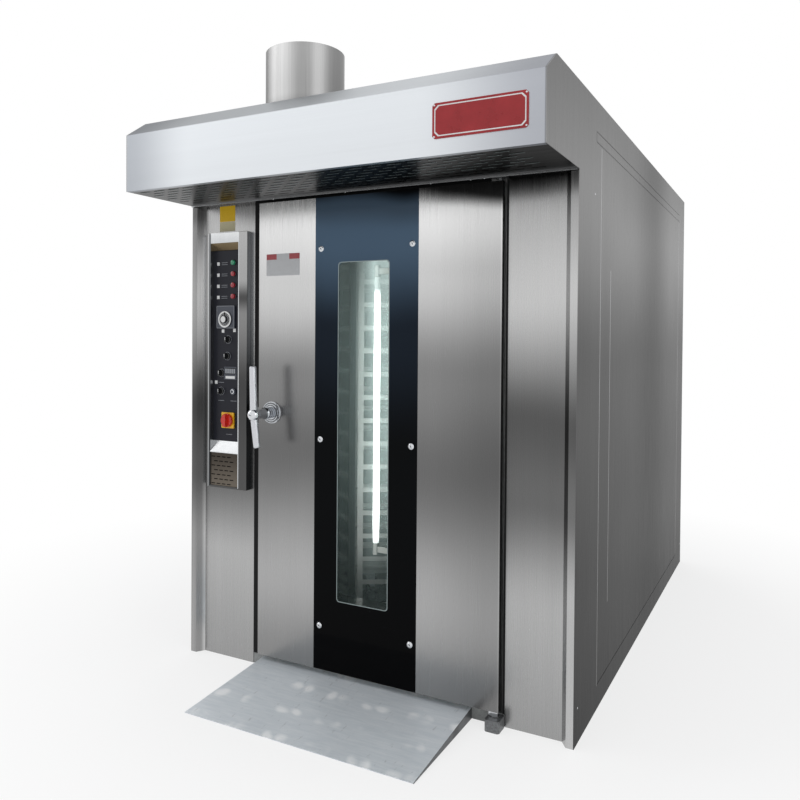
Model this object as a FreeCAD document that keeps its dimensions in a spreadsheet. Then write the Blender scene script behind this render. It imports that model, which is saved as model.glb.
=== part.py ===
"""Rotating rack oven, modelled as separate pieces in one parametric document.

Millimetres. X runs to the right across the front, Y runs into the depth and Z up.
The origin is on the floor, at the middle of the oven with its loading ramp.
"""
import FreeCAD, Part
import math
import os
import re

import Sketcher
from FreeCAD import Placement, Rotation, Vector

SIZES = {
    # cabinet shell
    "cabinet_width": 1669,
    "cabinet_depth": 2456,
    "cabinet_height": 2200,
    "outer_sheet": 2,
    "inner_sheet": 2,
    "wall_insulation": 100,
    "front_wall": 98,
    "panel_recess": 33,
    "post_face": 27,
    "post_bevel": 22,
    "left_panel_width": 262.5,
    "right_panel_width": 203.5,
    "base_height": 44,
    "floor_sheet": 3,
    "ceiling_height": 2040,
    "seam_width": 3,
    "seam_depth": 1.2,
    "side_seam_front": 310,
    "side_seam_rear": 214,
    "side_seam_low": 90,
    "trim_low": 2050,
    "trim_high": 2092,
    "trim_front": 231,
    # hood over the door
    "hood_reach": 363,
    "hood_bevel_reach": 96,
    "hood_bevel_drop": 68,
    "hood_bottom": 1915,
    "hood_lip": 22,
    "grille_slot_length": 50,
    "grille_slot_width": 7,
    "grille_pitch_across": 73,
    "grille_pitch_deep": 36,
    "grille_margin": 30,
    "lintel_drop": 5,
    "lintel_width": 6,
    # flue and its fan
    "flue_radius": 147,
    "flue_wall": 2,
    "flue_top": 2414,
    "flue_across": -182,
    "flue_forward": 100,
    "flue_flange": 18,
    "exhaust_hub_radius": 26,
    "exhaust_blade_gap": 9,
    "exhaust_lift": 22,
    "exhaust_fan_height": 42,
    "exhaust_shaft_radius": 8,
    "exhaust_motor_radius": 48,
    "exhaust_motor_height": 96,
    "exhaust_motor_drop": 44,
    "exhaust_blades": 8,
    # door
    "door_bottom": 59,
    "door_top": 1900,
    "door_sheet": 5,
    "door_slab": 28,
    "door_plug": 82,
    "door_overlap": 55,
    "plug_clearance": 12,
    "gap_left": 48,
    "gap_right": 12,
    "glass_left": 200,
    "glass_right": 250,
    "window_left": 93,
    "window_right": 129,
    "window_bottom": 338,
    "window_top": 1646,
    "window_corner": 12,
    "tunnel_margin": 12,
    "pane_margin": 13,
    "pane_thickness": 5,
    "gasket_width": 22,
    "gasket_inset": 8,
    "running_gap": 0.3,
    "screw_radius": 9,
    "screw_head": 3,
    "screw_inset": 26,
    "screw_low": 230,
    "screw_middle": 960,
    "screw_high": 1702,
    # door lamp between the panes
    "lamp_radius": 13,
    "lamp_across": 48,
    "lamp_low": 560,
    "lamp_high": 1600,
    "lamp_holder_height": 34,
    # pivots
    "pivot_inset": 14,
    "pivot_radius": 8,
    "pivot_depth": 24,
    "pivot_fit": 0.05,
    "pivot_block_front": 28,
    "pivot_block_width": 54,
    "pivot_bracket_thickness": 5,
    "washer_radius": 18,
    "washer_height": 3,
    "shoe_thickness": 14,
    # handle and latch
    "handle_inset": 68,
    "handle_height": 1053,
    "handle_reach": 116,
    "handle_lean_up": 1.8,
    "handle_lean_down": 7.5,
    "handle_arm_up": 190,
    "handle_arm_down": 130,
    "handle_bar_radius": 12,
    "handle_bar_root": 14,
    "handle_hub_radius": 25,
    "handle_collar_radius": 24,
    "rosette_radius": 44,
    "rosette_height": 6,
    "handle_shaft_radius": 12,
    "handle_shaft_fit": 0.05,
    "latch_length": 86,
    "latch_width": 18,
    "latch_thickness": 8,
    "latch_clearance": 2,
    "keeper_thickness": 4,
    # control unit
    "bezel_inset": 81,
    "bezel_width": 208.5,
    "bezel_drop": 120,
    "bezel_flange_left": 13,
    "bezel_flange_right": 45,
    "bezel_strip_top": 43,
    "bezel_reach": 25,
    "bezel_slope_top": 30,
    "bezel_slope_low": 45,
    "bezel_back": 1,
    "fascia_thickness": 2,
    "fascia_margin": 55,
    "vent_inset": 6,
    "vent_border": 4,
    "vent_height": 140,
    "vent_foot": 8,
    "vent_slot_length": 20,
    "vent_slot_width": 4,
    "vent_pitch_across": 28,
    "vent_pitch_up": 19,
    "pilot_offset": 120.5,
    "pilot_radius": 11,
    "pilot_height": 12,
    "pilot_gap": 52,
    "pilot_pitch": 47.3,
    "timer_offset": 82.5,
    "timer_gap": 39.1,
    "timer_size": 96,
    "timer_case": 8,
    "dial_drop": 10,
    "dial_radius": 35,
    "knob_radius": 14,
    "knob_base": 7,
    "knob_grip": 14,
    "knob_grip_width": 7,
    "knob_a_offset": 91.5,
    "knob_b_offset": 87.5,
    "knob_c_offset": 56.5,
    "knob_d_offset": 54.5,
    "row_a_gap": 47,
    "row_b_gap": 70,
    "row_c_gap": 72,
    "row_d_gap": 77,
    "counter_offset": 107.5,
    "counter_width": 67,
    "counter_rise": 54,
    "counter_case": 5,
    "button_offset": 121.5,
    "button_collar": 14,
    "button_radius": 9.5,
    "button_travel": 4,
    "switch_offset": 95.5,
    "switch_gap": 89,
    "switch_plate_size": 66,
    "switch_plate_depth": 7,
    "switch_knob_radius": 29,
    "switch_knob_depth": 26,
    # plates and ramp
    "sign_inset": 52.5,
    "sign_width": 307,
    "sign_rise": 50,
    "sign_height": 109,
    "sign_thickness": 2,
    "sign_corner": 8,
    "ramp_reach": 425,
    "ramp_gap_left": 7,
    "ramp_gap_right": 112,
    "ramp_plate": 5,
    "ramp_rise": 34,
    # baking chamber
    "duct_clearance": 60,
    "baffle_clearance": 90,
    "duct_slot_width": 14,
    "duct_slot_height": 150,
    "duct_slot_rise": 210,
    "duct_slot_pitch": 240,
    "duct_slot_low": 140,
    # turntable, rack and drive
    "turn_across": 30,
    "turn_deep": 810,
    "turntable_radius": 500,
    "turntable_thickness": 8,
    "turntable_gap": 3,
    "turntable_bevel": 24,
    "shaft_end_gap": 1,
    "boss_radius": 40,
    "bearing_radius": 60,
    "bearing_height": 22,
    "stub_radius": 25,
    "turning_fit": 0.05,
    "rack_stop_angle": 32,
    "rack_length": 800,
    "rack_width": 660,
    "rack_tube": 25,
    "rack_low": 150,
    "rack_high": 1800,
    "tier_first": 200,
    "tier_pitch": 100,
    "tier_count": 16,
    "runner_leg": 20,
    "runner_shelf": 36,
    "runner_sheet": 2,
    "caster_radius": 36,
    "caster_width": 24,
    "caster_axle_radius": 6,
    "caster_fork_cheek": 4,
    "caster_side_gap": 1.5,
    "caster_plate": 6,
    "caster_trail": 22,
    "caster_inset": 70,
    "caster_stem_radius": 10,
    "caster_pad": 8,
    "drive_shaft_radius": 20,
    "carrier_thickness": 12,
    "carrier_width": 50,
    "carrier_finger": 30,
    "shaft_hole_gap": 6,
    "gearbox_size": 180,
    "gearbox_height": 130,
    "gearbox_plate": 10,
    "gearbox_plate_margin": 25,
    "drive_motor_radius": 62,
    "drive_motor_length": 220,
    # circulation fan and heaters
    "blower_radius": 230,
    "blower_height": 130,
    "blower_top": 1980,
    "blower_plate": 5,
    "blower_hub_radius": 40,
    "blower_shaft_radius": 14,
    "blower_blades": 12,
    "blower_motor_radius": 92,
    "blower_motor_height": 178,
    "blower_flange": 30,
    "heater_radius": 8,
    "heater_bend": 45,
    "heater_clearance": 190,
    "heater_height": 1250,
    "heater_pitch": 130,
    "heater_count": 8,
    "heater_plate": 6,
    # steam generator and services
    "steam_length": 520,
    "steam_clearance": 192,
    "steam_margin": 270,
    "steam_low": 250,
    "steam_pitch": 70,
    "steam_count": 8,
    "steam_bar": 40,
    "steam_bar_sheet": 6,
    "water_pipe_radius": 8,
    "water_nipple_radius": 10.65,
    "water_pipe_rise": 60,
    "gland_radius": 20,
    "gland_bore": 12.5,
    "gland_height": 38,
    "gland_inset": 206,
}

doc = FreeCAD.newDocument("rotating_rack_oven")
sheet = doc.addObject("Spreadsheet::Sheet", "sizes")
for row, (alias, size) in enumerate(SIZES.items(), start=1):
    sheet.set(f"A{row}", alias.replace("_", " "))
    sheet.set(f"B{row}", str(size))
    sheet.setAlias(f"B{row}", alias)
doc.recompute()

WORD = re.compile(r"[a-z_]+[a-z0-9_]*")


def bound(text):
    """Write a formula of size names as an expression that reads the sheet."""
    return WORD.sub(lambda word: f"sizes.{word[0]}" if word[0] in SIZES else word[0], str(text))


def number(text):
    """Give the present value of a formula of size names."""
    return float(sheet.evalExpression(bound(text)))


def count(text):
    """Give a formula of size names as a whole number, at least one."""
    return max(1, int(math.floor(number(text) + 0.5)))


# ---------------------------------------------------------------- helpers

def place(item, x="0", y="0", z="0", rotation=None):
    """Put an object at a bound position, turned once about its own origin."""
    if rotation is not None:
        item.Placement = Placement(Vector(0, 0, 0), rotation)
    for axis, text in zip("xyz", (x, y, z)):
        item.setExpression(f".Placement.Base.{axis}", bound(text))
    return item


def box(name, x_low, x_high, y_low, y_high, z_low, z_high):
    """Make a block from its six bound faces."""
    block = doc.addObject("Part::Box", name)
    block.setExpression("Length", bound(f"({x_high}) - ({x_low})"))
    block.setExpression("Width", bound(f"({y_high}) - ({y_low})"))
    block.setExpression("Height", bound(f"({z_high}) - ({z_low})"))
    return place(block, x_low, y_low, z_low)


def rod(name, radius, length, x, y, z, rotation=None):
    """Make a cylinder that stands on a bound point."""
    bar = doc.addObject("Part::Cylinder", name)
    bar.setExpression("Radius", bound(radius))
    bar.setExpression("Height", bound(length))
    return place(bar, x, y, z, rotation)


def cut(name, base, tools):
    """Cut one object by several others."""
    for step, tool in enumerate(tools[:-1]):
        middle = doc.addObject("Part::Cut", f"{name}_cut_{step}")
        middle.Base = base
        middle.Tool = tool
        base = middle
    result = doc.addObject("Part::Cut", name)
    result.Base = base
    result.Tool = tools[-1]
    return result


def group(name, members):
    """Keep separate solids together as one sub-part."""
    result = doc.addObject("Part::Compound", name)
    result.Links = members
    return result


def body(name):
    """Start a body that may hold several separate solids."""
    result = doc.addObject("PartDesign::Body", name)
    result.AllowCompound = True
    return result


def sketch(owner, plane, level="0"):
    """Start a sketch on an origin plane, at a bound level along that plane's axis."""
    drawing = owner.newObject("Sketcher::SketchObject", f"{owner.Name}_sketch")
    support = [item for item in owner.Origin.OriginFeatures if item.Role == f"{plane}_Plane"][0]
    drawing.AttachmentSupport = [(support, "")]
    drawing.MapMode = "FlatFace"
    side = "-" if plane == "XZ" else ""
    drawing.setExpression("AttachmentOffset.Base.z", bound(f"{side}({level})"))
    return drawing


def polygon(drawing, points):
    """Draw a closed outline whose corners are bound to formulas."""
    spots = [(number(x), number(y)) for x, y in points]
    first = drawing.GeometryCount
    total = len(points)
    for step in range(total):
        start, end = spots[step], spots[(step + 1) % total]
        drawing.addGeometry(Part.LineSegment(Vector(*start, 0), Vector(*end, 0)))
    for step in range(total):
        following = first + (step + 1) % total
        drawing.addConstraint(Sketcher.Constraint("Coincident", first + step, 2, following, 1))
    for step, (x, y) in enumerate(points):
        for kind, text, value in (("DistanceX", x, spots[step][0]), ("DistanceY", y, spots[step][1])):
            entry = drawing.addConstraint(Sketcher.Constraint(kind, -1, 1, first + step, 1, value))
            drawing.setExpression(f"Constraints[{entry}]", bound(text))


def rectangle(drawing, x_low, x_high, y_low, y_high):
    """Draw a bound rectangle."""
    polygon(drawing, [(x_low, y_low), (x_high, y_low), (x_high, y_high), (x_low, y_high)])


def octagon(drawing, x_low, x_high, y_low, y_high, corner):
    """Draw a bound rectangle with its corners cut."""
    polygon(drawing, [
        (f"({x_low}) + {corner}", y_low), (f"({x_high}) - {corner}", y_low),
        (x_high, f"({y_low}) + {corner}"), (x_high, f"({y_high}) - {corner}"),
        (f"({x_high}) - {corner}", y_high), (f"({x_low}) + {corner}", y_high),
        (x_low, f"({y_high}) - {corner}"), (x_low, f"({y_low}) + {corner}"),
    ])


def circle(drawing, x, y, radius):
    """Draw a bound circle."""
    centre = Vector(number(x), number(y), 0)
    ring = drawing.addGeometry(Part.Circle(centre, Vector(0, 0, 1), number(radius)))
    entry = drawing.addConstraint(Sketcher.Constraint("Radius", ring, number(radius)))
    drawing.setExpression(f"Constraints[{entry}]", bound(radius))
    for kind, text, value in (("DistanceX", x, centre.x), ("DistanceY", y, centre.y)):
        entry = drawing.addConstraint(Sketcher.Constraint(kind, -1, 1, ring, 3, value))
        drawing.setExpression(f"Constraints[{entry}]", bound(text))


def pad(owner, plane, low, high, draw):
    """Add what draw(sketch) outlines, from one bound level to another."""
    drawing = sketch(owner, plane, high if plane == "XZ" else low)
    draw(drawing)
    feature = owner.newObject("PartDesign::Pad", f"{owner.Name}_pad")
    feature.Profile = drawing
    feature.setExpression("Length", bound(f"({high}) - ({low})"))
    drawing.Visibility = False
    return feature


def pocket(owner, plane, low, high, draw):
    """Cut away what draw(sketch) outlines, from one bound level to another."""
    drawing = sketch(owner, plane, low if plane == "XZ" else high)
    draw(drawing)
    feature = owner.newObject("PartDesign::Pocket", f"{owner.Name}_pocket")
    feature.Profile = drawing
    feature.setExpression("Length", bound(f"({high}) - ({low})"))
    drawing.Visibility = False
    return feature


def row_of(feature, axis, length, copies):
    """Describe a straight row of copies along one of the feature's sketch axes."""
    owner = feature.getParentGeoFeatureGroup()
    line = owner.newObject("PartDesign::LinearPattern", f"{owner.Name}_row")
    line.Direction = (feature.Profile[0], [f"{axis}_Axis"])
    line.setExpression("Length", bound(length))
    line.Occurrences = copies
    return line


def repeat(feature, axis, length, copies):
    """Repeat a feature in a row."""
    if copies < 2:
        return feature
    line = row_of(feature, axis, length, copies)
    line.Originals = [feature]
    line.getParentGeoFeatureGroup().Tip = line
    return line


def repeat_grid(feature, across, columns, upward, rows):
    """Repeat a feature in columns and rows."""
    owner = feature.getParentGeoFeatureGroup()
    grid = owner.newObject("PartDesign::MultiTransform", f"{owner.Name}_grid")
    grid.Originals = [feature]
    grid.Transformations = [
        row_of(feature, "H", across, columns),
        row_of(feature, "V", upward, rows),
    ]
    owner.Tip = grid
    return grid


def turned(owner, profile):
    """Add a turned solid about the body's own Z axis from bound (radius, height) points."""
    drawing = sketch(owner, "XZ")
    polygon(drawing, profile)
    feature = owner.newObject("PartDesign::Revolution", f"{owner.Name}_turning")
    feature.Profile = drawing
    feature.ReferenceAxis = (drawing, ["V_Axis"])
    feature.Angle = 360
    drawing.Visibility = False
    return feature


def tube(outer, inner, low, high):
    """List the profile of a ring for turning."""
    return [(inner, low), (outer, low), (outer, high), (inner, high)]


FORWARD = Rotation(Vector(1, 0, 0), 90)
BACKWARD = Rotation(Vector(1, 0, 0), -90)

nodes = {}


def keep(item, name):
    """Give a finished sub-part its own name."""
    item.Label = name
    nodes[name] = item
    return item


# ------------------------------------------------------------ named places

half = "(cabinet_width / 2)"
inside = "(cabinet_width / 2 - outer_sheet)"


def deep(distance):
    """Y at a distance behind the front face of the corner posts."""
    return f"((ramp_reach - cabinet_depth) / 2 + ({distance}))"


front = deep("0")
rear = deep("cabinet_depth")
panel_face = deep("panel_recess")
wall_face = deep("panel_recess + outer_sheet")
wall_back = deep("panel_recess + outer_sheet + front_wall")
floor_top = "(base_height + floor_sheet)"
roof_under = "(cabinet_height - outer_sheet)"
liner_face = f"({inside} - wall_insulation - inner_sheet)"
rear_liner = deep("cabinet_depth - outer_sheet - wall_insulation - inner_sheet")
baffle_face = deep("turn_deep + turntable_radius + baffle_clearance")
duct_left = "(-turn_across - turntable_radius - duct_clearance)"
duct_right = "(turntable_radius + duct_clearance - turn_across)"

panel_left = "(post_face + post_bevel + left_panel_width - cabinet_width / 2)"
panel_right = "(cabinet_width / 2 - post_face - post_bevel - right_panel_width)"
door_left = f"({panel_left} + gap_left)"
door_right = f"({panel_right} - gap_right)"
opening_left = f"({door_left} + door_overlap)"
opening_right = f"({door_right} - door_overlap)"
opening_top = "(door_top - door_overlap)"
plug_left = f"({opening_left} + plug_clearance)"
plug_right = f"({opening_right} - plug_clearance)"
plug_top = f"({opening_top} - plug_clearance)"
plug_bottom = f"({floor_top} + plug_clearance + washer_height)"
slab_back = deep("door_slab")
plug_back = deep("door_slab + door_plug")

turn_x = "(-turn_across)"
turn_y = deep("turn_deep")
blower_y = f"(({baffle_face} + {rear_liner}) / 2)"
flue_x = "(flue_across)"
flue_y = deep("-flue_forward")
water_x = f"(steam_margin + steam_bar - {liner_face})"
water_y = f"({rear_liner} - steam_clearance - steam_bar)"
gland_x = f"({half} - gland_inset)"
gland_y = f"({rear} - gland_inset)"


# ------------------------------------------------------------ base and floor

def make_base():
    """Floor pan with the bearing seat, the bearing and the floor plate."""
    pan = body("base_pan")
    pad(pan, "XY", "0", "base_height", lambda s: rectangle(
        s, f"-{inside}", inside, wall_face, deep("cabinet_depth - outer_sheet")))
    pocket(pan, "XY", "base_height - bearing_height", "base_height",
           lambda s: circle(s, turn_x, turn_y, "bearing_radius"))
    keep(pan, "base_pan")

    plate = body("chamber_floor")
    pad(plate, "XY", "base_height", floor_top, lambda s: (
        polygon(s, [
            (opening_left, wall_face), (opening_right, wall_face), (opening_right, wall_back),
            (liner_face, wall_back), (liner_face, rear_liner),
            (f"-{liner_face}", rear_liner), (f"-{liner_face}", wall_back), (opening_left, wall_back),
        ]),
        circle(s, turn_x, turn_y, "boss_radius + shaft_hole_gap"),
    ))
    keep(plate, "chamber_floor")

    ring = body("floor_bearing")
    turned(ring, tube("bearing_radius", "stub_radius + turning_fit", "0", "bearing_height"))
    place(ring, turn_x, turn_y, "base_height - bearing_height")
    keep(ring, "floor_bearing")


# ------------------------------------------------------------ outer shell

def make_side(name, outer, inner, cut_low, cut_high):
    """One side sheet with its panel seams, in one piece with the hood's end."""
    side = body(name)
    low, high = (outer, inner) if name.startswith("left") else (inner, outer)
    pad(side, "YZ", low, high, lambda s: polygon(s, [
        (front, "0"), (rear, "0"), (rear, "cabinet_height"),
        (deep("hood_bevel_reach - hood_reach"), "cabinet_height"),
        (deep("-hood_reach"), "cabinet_height - hood_bevel_drop"),
        (deep("-hood_reach"), "hood_bottom"), (front, "hood_bottom"),
    ]))
    seam_rear = deep("cabinet_depth - side_seam_rear")
    seam_front = deep("side_seam_front")
    trim_front = deep("trim_front")
    seams = (
        (seam_front, f"{seam_front} + seam_width", "side_seam_low", "trim_low"),
        (seam_rear, f"{seam_rear} + seam_width", "side_seam_low", "trim_low"),
        (f"{seam_front} + seam_width", seam_rear, "side_seam_low", "side_seam_low + seam_width"),
        (trim_front, f"{seam_rear} + seam_width", "trim_low", "trim_low + 2 * seam_width"),
        (trim_front, f"{seam_rear} + seam_width", "trim_high - seam_width", "trim_high"),
        (trim_front, f"{trim_front} + seam_width", "trim_low + 2 * seam_width",
         "trim_high - seam_width"),
    )
    for y_low, y_high, z_low, z_high in seams:
        pocket(side, "YZ", cut_low, cut_high,
               lambda s, a=y_low, b=y_high, c=z_low, d=z_high: rectangle(s, a, b, c, d))
    keep(side, name)


def make_shell():
    """Side, rear and roof sheets."""
    make_side("left_side_skin", f"-{half}", f"-{inside}", f"-{half}", f"-{half} + seam_depth")
    make_side("right_side_skin", half, inside, f"{half} - seam_depth", half)

    back = body("rear_skin")
    back_face = deep("cabinet_depth - outer_sheet")
    pad(back, "XZ", back_face, rear,
        lambda s: rectangle(s, f"-{inside}", inside, "0", roof_under))
    hatch = "(cabinet_width / 4)"
    hatch_low = "(side_seam_low * 3)"
    hatch_high = "(trim_low - side_seam_low * 3)"
    for x_low, x_high, z_low, z_high in (
            (f"-{hatch}", f"-{hatch} + seam_width", hatch_low, hatch_high),
            (f"{hatch} - seam_width", hatch, hatch_low, hatch_high),
            (f"-{hatch} + seam_width", f"{hatch} - seam_width", hatch_low,
             f"{hatch_low} + seam_width"),
            (f"-{hatch} + seam_width", f"{hatch} - seam_width", f"{hatch_high} - seam_width",
             hatch_high)):
        pocket(back, "XZ", f"{rear} - seam_depth", rear,
               lambda s, a=x_low, b=x_high, c=z_low, d=z_high: rectangle(s, a, b, c, d))
    keep(back, "rear_skin")

    roof = body("roof_skin")
    pad(roof, "XY", roof_under, "cabinet_height", lambda s: (
        rectangle(s, f"-{inside}", inside, deep("hood_bevel_reach - hood_reach"), rear),
        circle(s, flue_x, flue_y, "flue_radius - flue_wall"),
        circle(s, turn_x, turn_y, "drive_shaft_radius + shaft_hole_gap"),
        circle(s, "0", blower_y, "blower_shaft_radius + shaft_hole_gap"),
        circle(s, water_x, water_y, "water_pipe_radius"),
        circle(s, gland_x, gland_y, "gland_bore"),
    ))
    keep(roof, "roof_skin")


def make_hood():
    """Bent fascia of the hood and its slotted underside."""
    fascia = body("hood_fascia")
    nose = deep("-hood_reach")
    bend = "(outer_sheet * 0.6)"
    bevel_top = deep("hood_bevel_reach - hood_reach")
    pad(fascia, "YZ", f"-{inside}", inside, lambda s: polygon(s, [
        (bevel_top, roof_under), (bevel_top, "cabinet_height"),
        (nose, "cabinet_height - hood_bevel_drop"), (nose, "hood_bottom"),
        (f"{nose} + hood_lip", "hood_bottom"), (f"{nose} + hood_lip", "hood_bottom + outer_sheet"),
        (f"{nose} + outer_sheet", "hood_bottom + outer_sheet"),
        (f"{nose} + outer_sheet", f"cabinet_height - hood_bevel_drop - {bend}"),
    ]))
    keep(fascia, "hood_fascia")

    grille = body("hood_grille")
    grille_front = f"({nose} + hood_lip)"
    pad(grille, "XY", "hood_bottom", "hood_bottom + outer_sheet",
        lambda s: rectangle(s, f"-{inside}", inside, grille_front, wall_face))
    pad(grille, "XY", "hood_bottom - lintel_drop", "hood_bottom", lambda s: rectangle(
        s, f"-{inside}", inside, deep("-10"), deep("-10 + lintel_width")))
    columns = count("(cabinet_width - 2 * grille_margin) / grille_pitch_across - 1")
    rows = count("(hood_reach - hood_lip - 2 * grille_margin) / grille_pitch_deep / 2")
    for shift in (0, 1):
        x_low = f"(-{inside} + grille_margin + {shift} * grille_pitch_across / 2)"
        y_low = f"({grille_front} + grille_margin / 2 + {shift} * grille_pitch_deep)"
        slot = pocket(grille, "XY", "hood_bottom", "hood_bottom + outer_sheet",
                      lambda s, a=x_low, b=y_low: rectangle(
                          s, a, f"{a} + grille_slot_length", b, f"{b} + grille_slot_width"))
        repeat_grid(slot, f"grille_pitch_across * {columns - 1}", columns,
                    f"grille_pitch_deep * 2 * {rows - 1}", rows)
    keep(grille, "hood_grille")


def make_front():
    """Corner posts, front panels and the insulated wall round the doorway."""
    posts = []
    for side, sign in (("left", "-"), ("right", "")):
        post = body(f"{side}_corner_post")
        outer = f"{sign}{inside}"
        flat = f"{sign}({half} - post_face)"
        foot = f"{sign}({half} - post_face - post_bevel)"
        pad(post, "XY", "0", "hood_bottom", lambda s, a=outer, b=flat, c=foot: polygon(s, [
            (a, front), (b, front), (c, panel_face), (c, wall_face), (a, wall_face)]))
        posts.append(post)
    keep(group("corner_posts", posts), "corner_posts")

    foot = f"({half} - post_face - post_bevel)"
    keep(group("front_panels", [
        box("left_front_panel", f"-{foot}", panel_left, panel_face, wall_face, "0", "hood_bottom"),
        box("right_front_panel", panel_right, foot, panel_face, wall_face, "0", "hood_bottom"),
    ]), "front_panels")

    keep(group("door_frame", [
        box("left_jamb", f"-{inside}", opening_left, wall_face, wall_back, "base_height", roof_under),
        box("right_jamb", opening_right, inside, wall_face, wall_back, "base_height", roof_under),
        box("door_header", opening_left, opening_right, wall_face, wall_back, opening_top,
            roof_under),
    ]), "door_frame")

    seal_front = f"({wall_face} - outer_sheet)"
    seal_lap = "(gasket_inset / 2)"
    keep(group("door_surround_seal", [
        box("surround_seal_left", panel_left, f"{door_left} - {seal_lap}", seal_front, wall_face,
            "base_height", "hood_bottom"),
        box("surround_seal_right", f"{door_right} + {seal_lap}", panel_right, seal_front, wall_face,
            "base_height", "hood_bottom"),
        box("surround_seal_top", f"{door_left} - {seal_lap}", f"{door_right} - pivot_block_width",
            seal_front, wall_face, "door_top + outer_sheet", "hood_bottom"),
    ]), "door_surround_seal")


# ------------------------------------------------------------ baking chamber

def make_chamber():
    """Insulation, liner sheets and the slotted air ducts."""
    slab_back_y = deep("cabinet_depth - outer_sheet")
    slab_front_y = deep("cabinet_depth - outer_sheet - wall_insulation")
    roof_slab = box("roof_insulation", f"-{liner_face} - inner_sheet", f"{liner_face} + inner_sheet",
                    wall_back, slab_front_y, "ceiling_height + inner_sheet", roof_under)
    holes = [
        (turn_x, turn_y, "drive_shaft_radius + shaft_hole_gap"),
        ("0", blower_y, "blower_shaft_radius + shaft_hole_gap"),
        (water_x, water_y, "water_pipe_radius"),
    ]
    rise = f"{roof_under} - ceiling_height"
    drills = [rod(f"roof_insulation_hole_{step}", radius, rise, x, y, "ceiling_height")
              for step, (x, y, radius) in enumerate(holes)]
    keep(group("insulation", [
        box("left_insulation", f"-{inside}", f"-{liner_face} - inner_sheet", wall_back,
            slab_front_y, "base_height", roof_under),
        box("right_insulation", f"{liner_face} + inner_sheet", inside, wall_back,
            slab_front_y, "base_height", roof_under),
        box("rear_insulation", f"-{inside}", inside, slab_front_y, slab_back_y, "base_height",
            roof_under),
        cut("roof_insulation_slab", roof_slab, drills),
    ]), "insulation")

    ceiling = body("ceiling_sheet")
    pad(ceiling, "XY", "ceiling_height", "ceiling_height + inner_sheet", lambda s: (
        rectangle(s, f"-{liner_face} - inner_sheet", f"{liner_face} + inner_sheet", wall_back,
                  slab_front_y),
        [circle(s, x, y, radius) for x, y, radius in holes],
    ))

    baffle = body("rear_baffle_sheet")
    pad(baffle, "XZ", baffle_face, f"{baffle_face} + inner_sheet", lambda s: (
        rectangle(s, duct_left, duct_right, floor_top, "ceiling_height"),
        circle(s, "0", "blower_top - blower_height", "blower_radius * 0.6"),
    ))
    keep(group("liner_sheets", [
        box("left_liner", f"-{liner_face} - inner_sheet", f"-{liner_face}", wall_back,
            slab_front_y, "base_height", "ceiling_height"),
        box("right_liner", liner_face, f"{liner_face} + inner_sheet", wall_back,
            slab_front_y, "base_height", "ceiling_height"),
        box("rear_liner", f"-{liner_face}", liner_face, rear_liner, slab_front_y, "base_height",
            "ceiling_height"),
        baffle,
        ceiling,
    ]), "chamber_liner")

    ducts = []
    for side, low, high in (("left", f"({duct_left} - inner_sheet)", duct_left),
                            ("right", duct_right, f"({duct_right} + inner_sheet)")):
        duct = body(f"{side}_duct_panel")
        pad(duct, "YZ", low, high, lambda s: rectangle(
            s, wall_back, f"{baffle_face} + inner_sheet", floor_top, "ceiling_height"))
        first_y = deep("turn_deep - duct_slot_pitch")
        first_z = f"({floor_top} + duct_slot_low)"
        slot = pocket(duct, "YZ", low, high, lambda s, a=first_y, b=first_z: rectangle(
            s, a, f"{a} + duct_slot_width", b, f"{b} + duct_slot_height"))
        rows = count("(ceiling_height - base_height - 2 * duct_slot_low) / duct_slot_rise")
        repeat_grid(slot, "duct_slot_pitch * 2", 3, f"duct_slot_rise * {rows - 1}", rows)
        ducts.append(duct)
    keep(group("duct_panels", ducts), "duct_panels")


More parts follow.
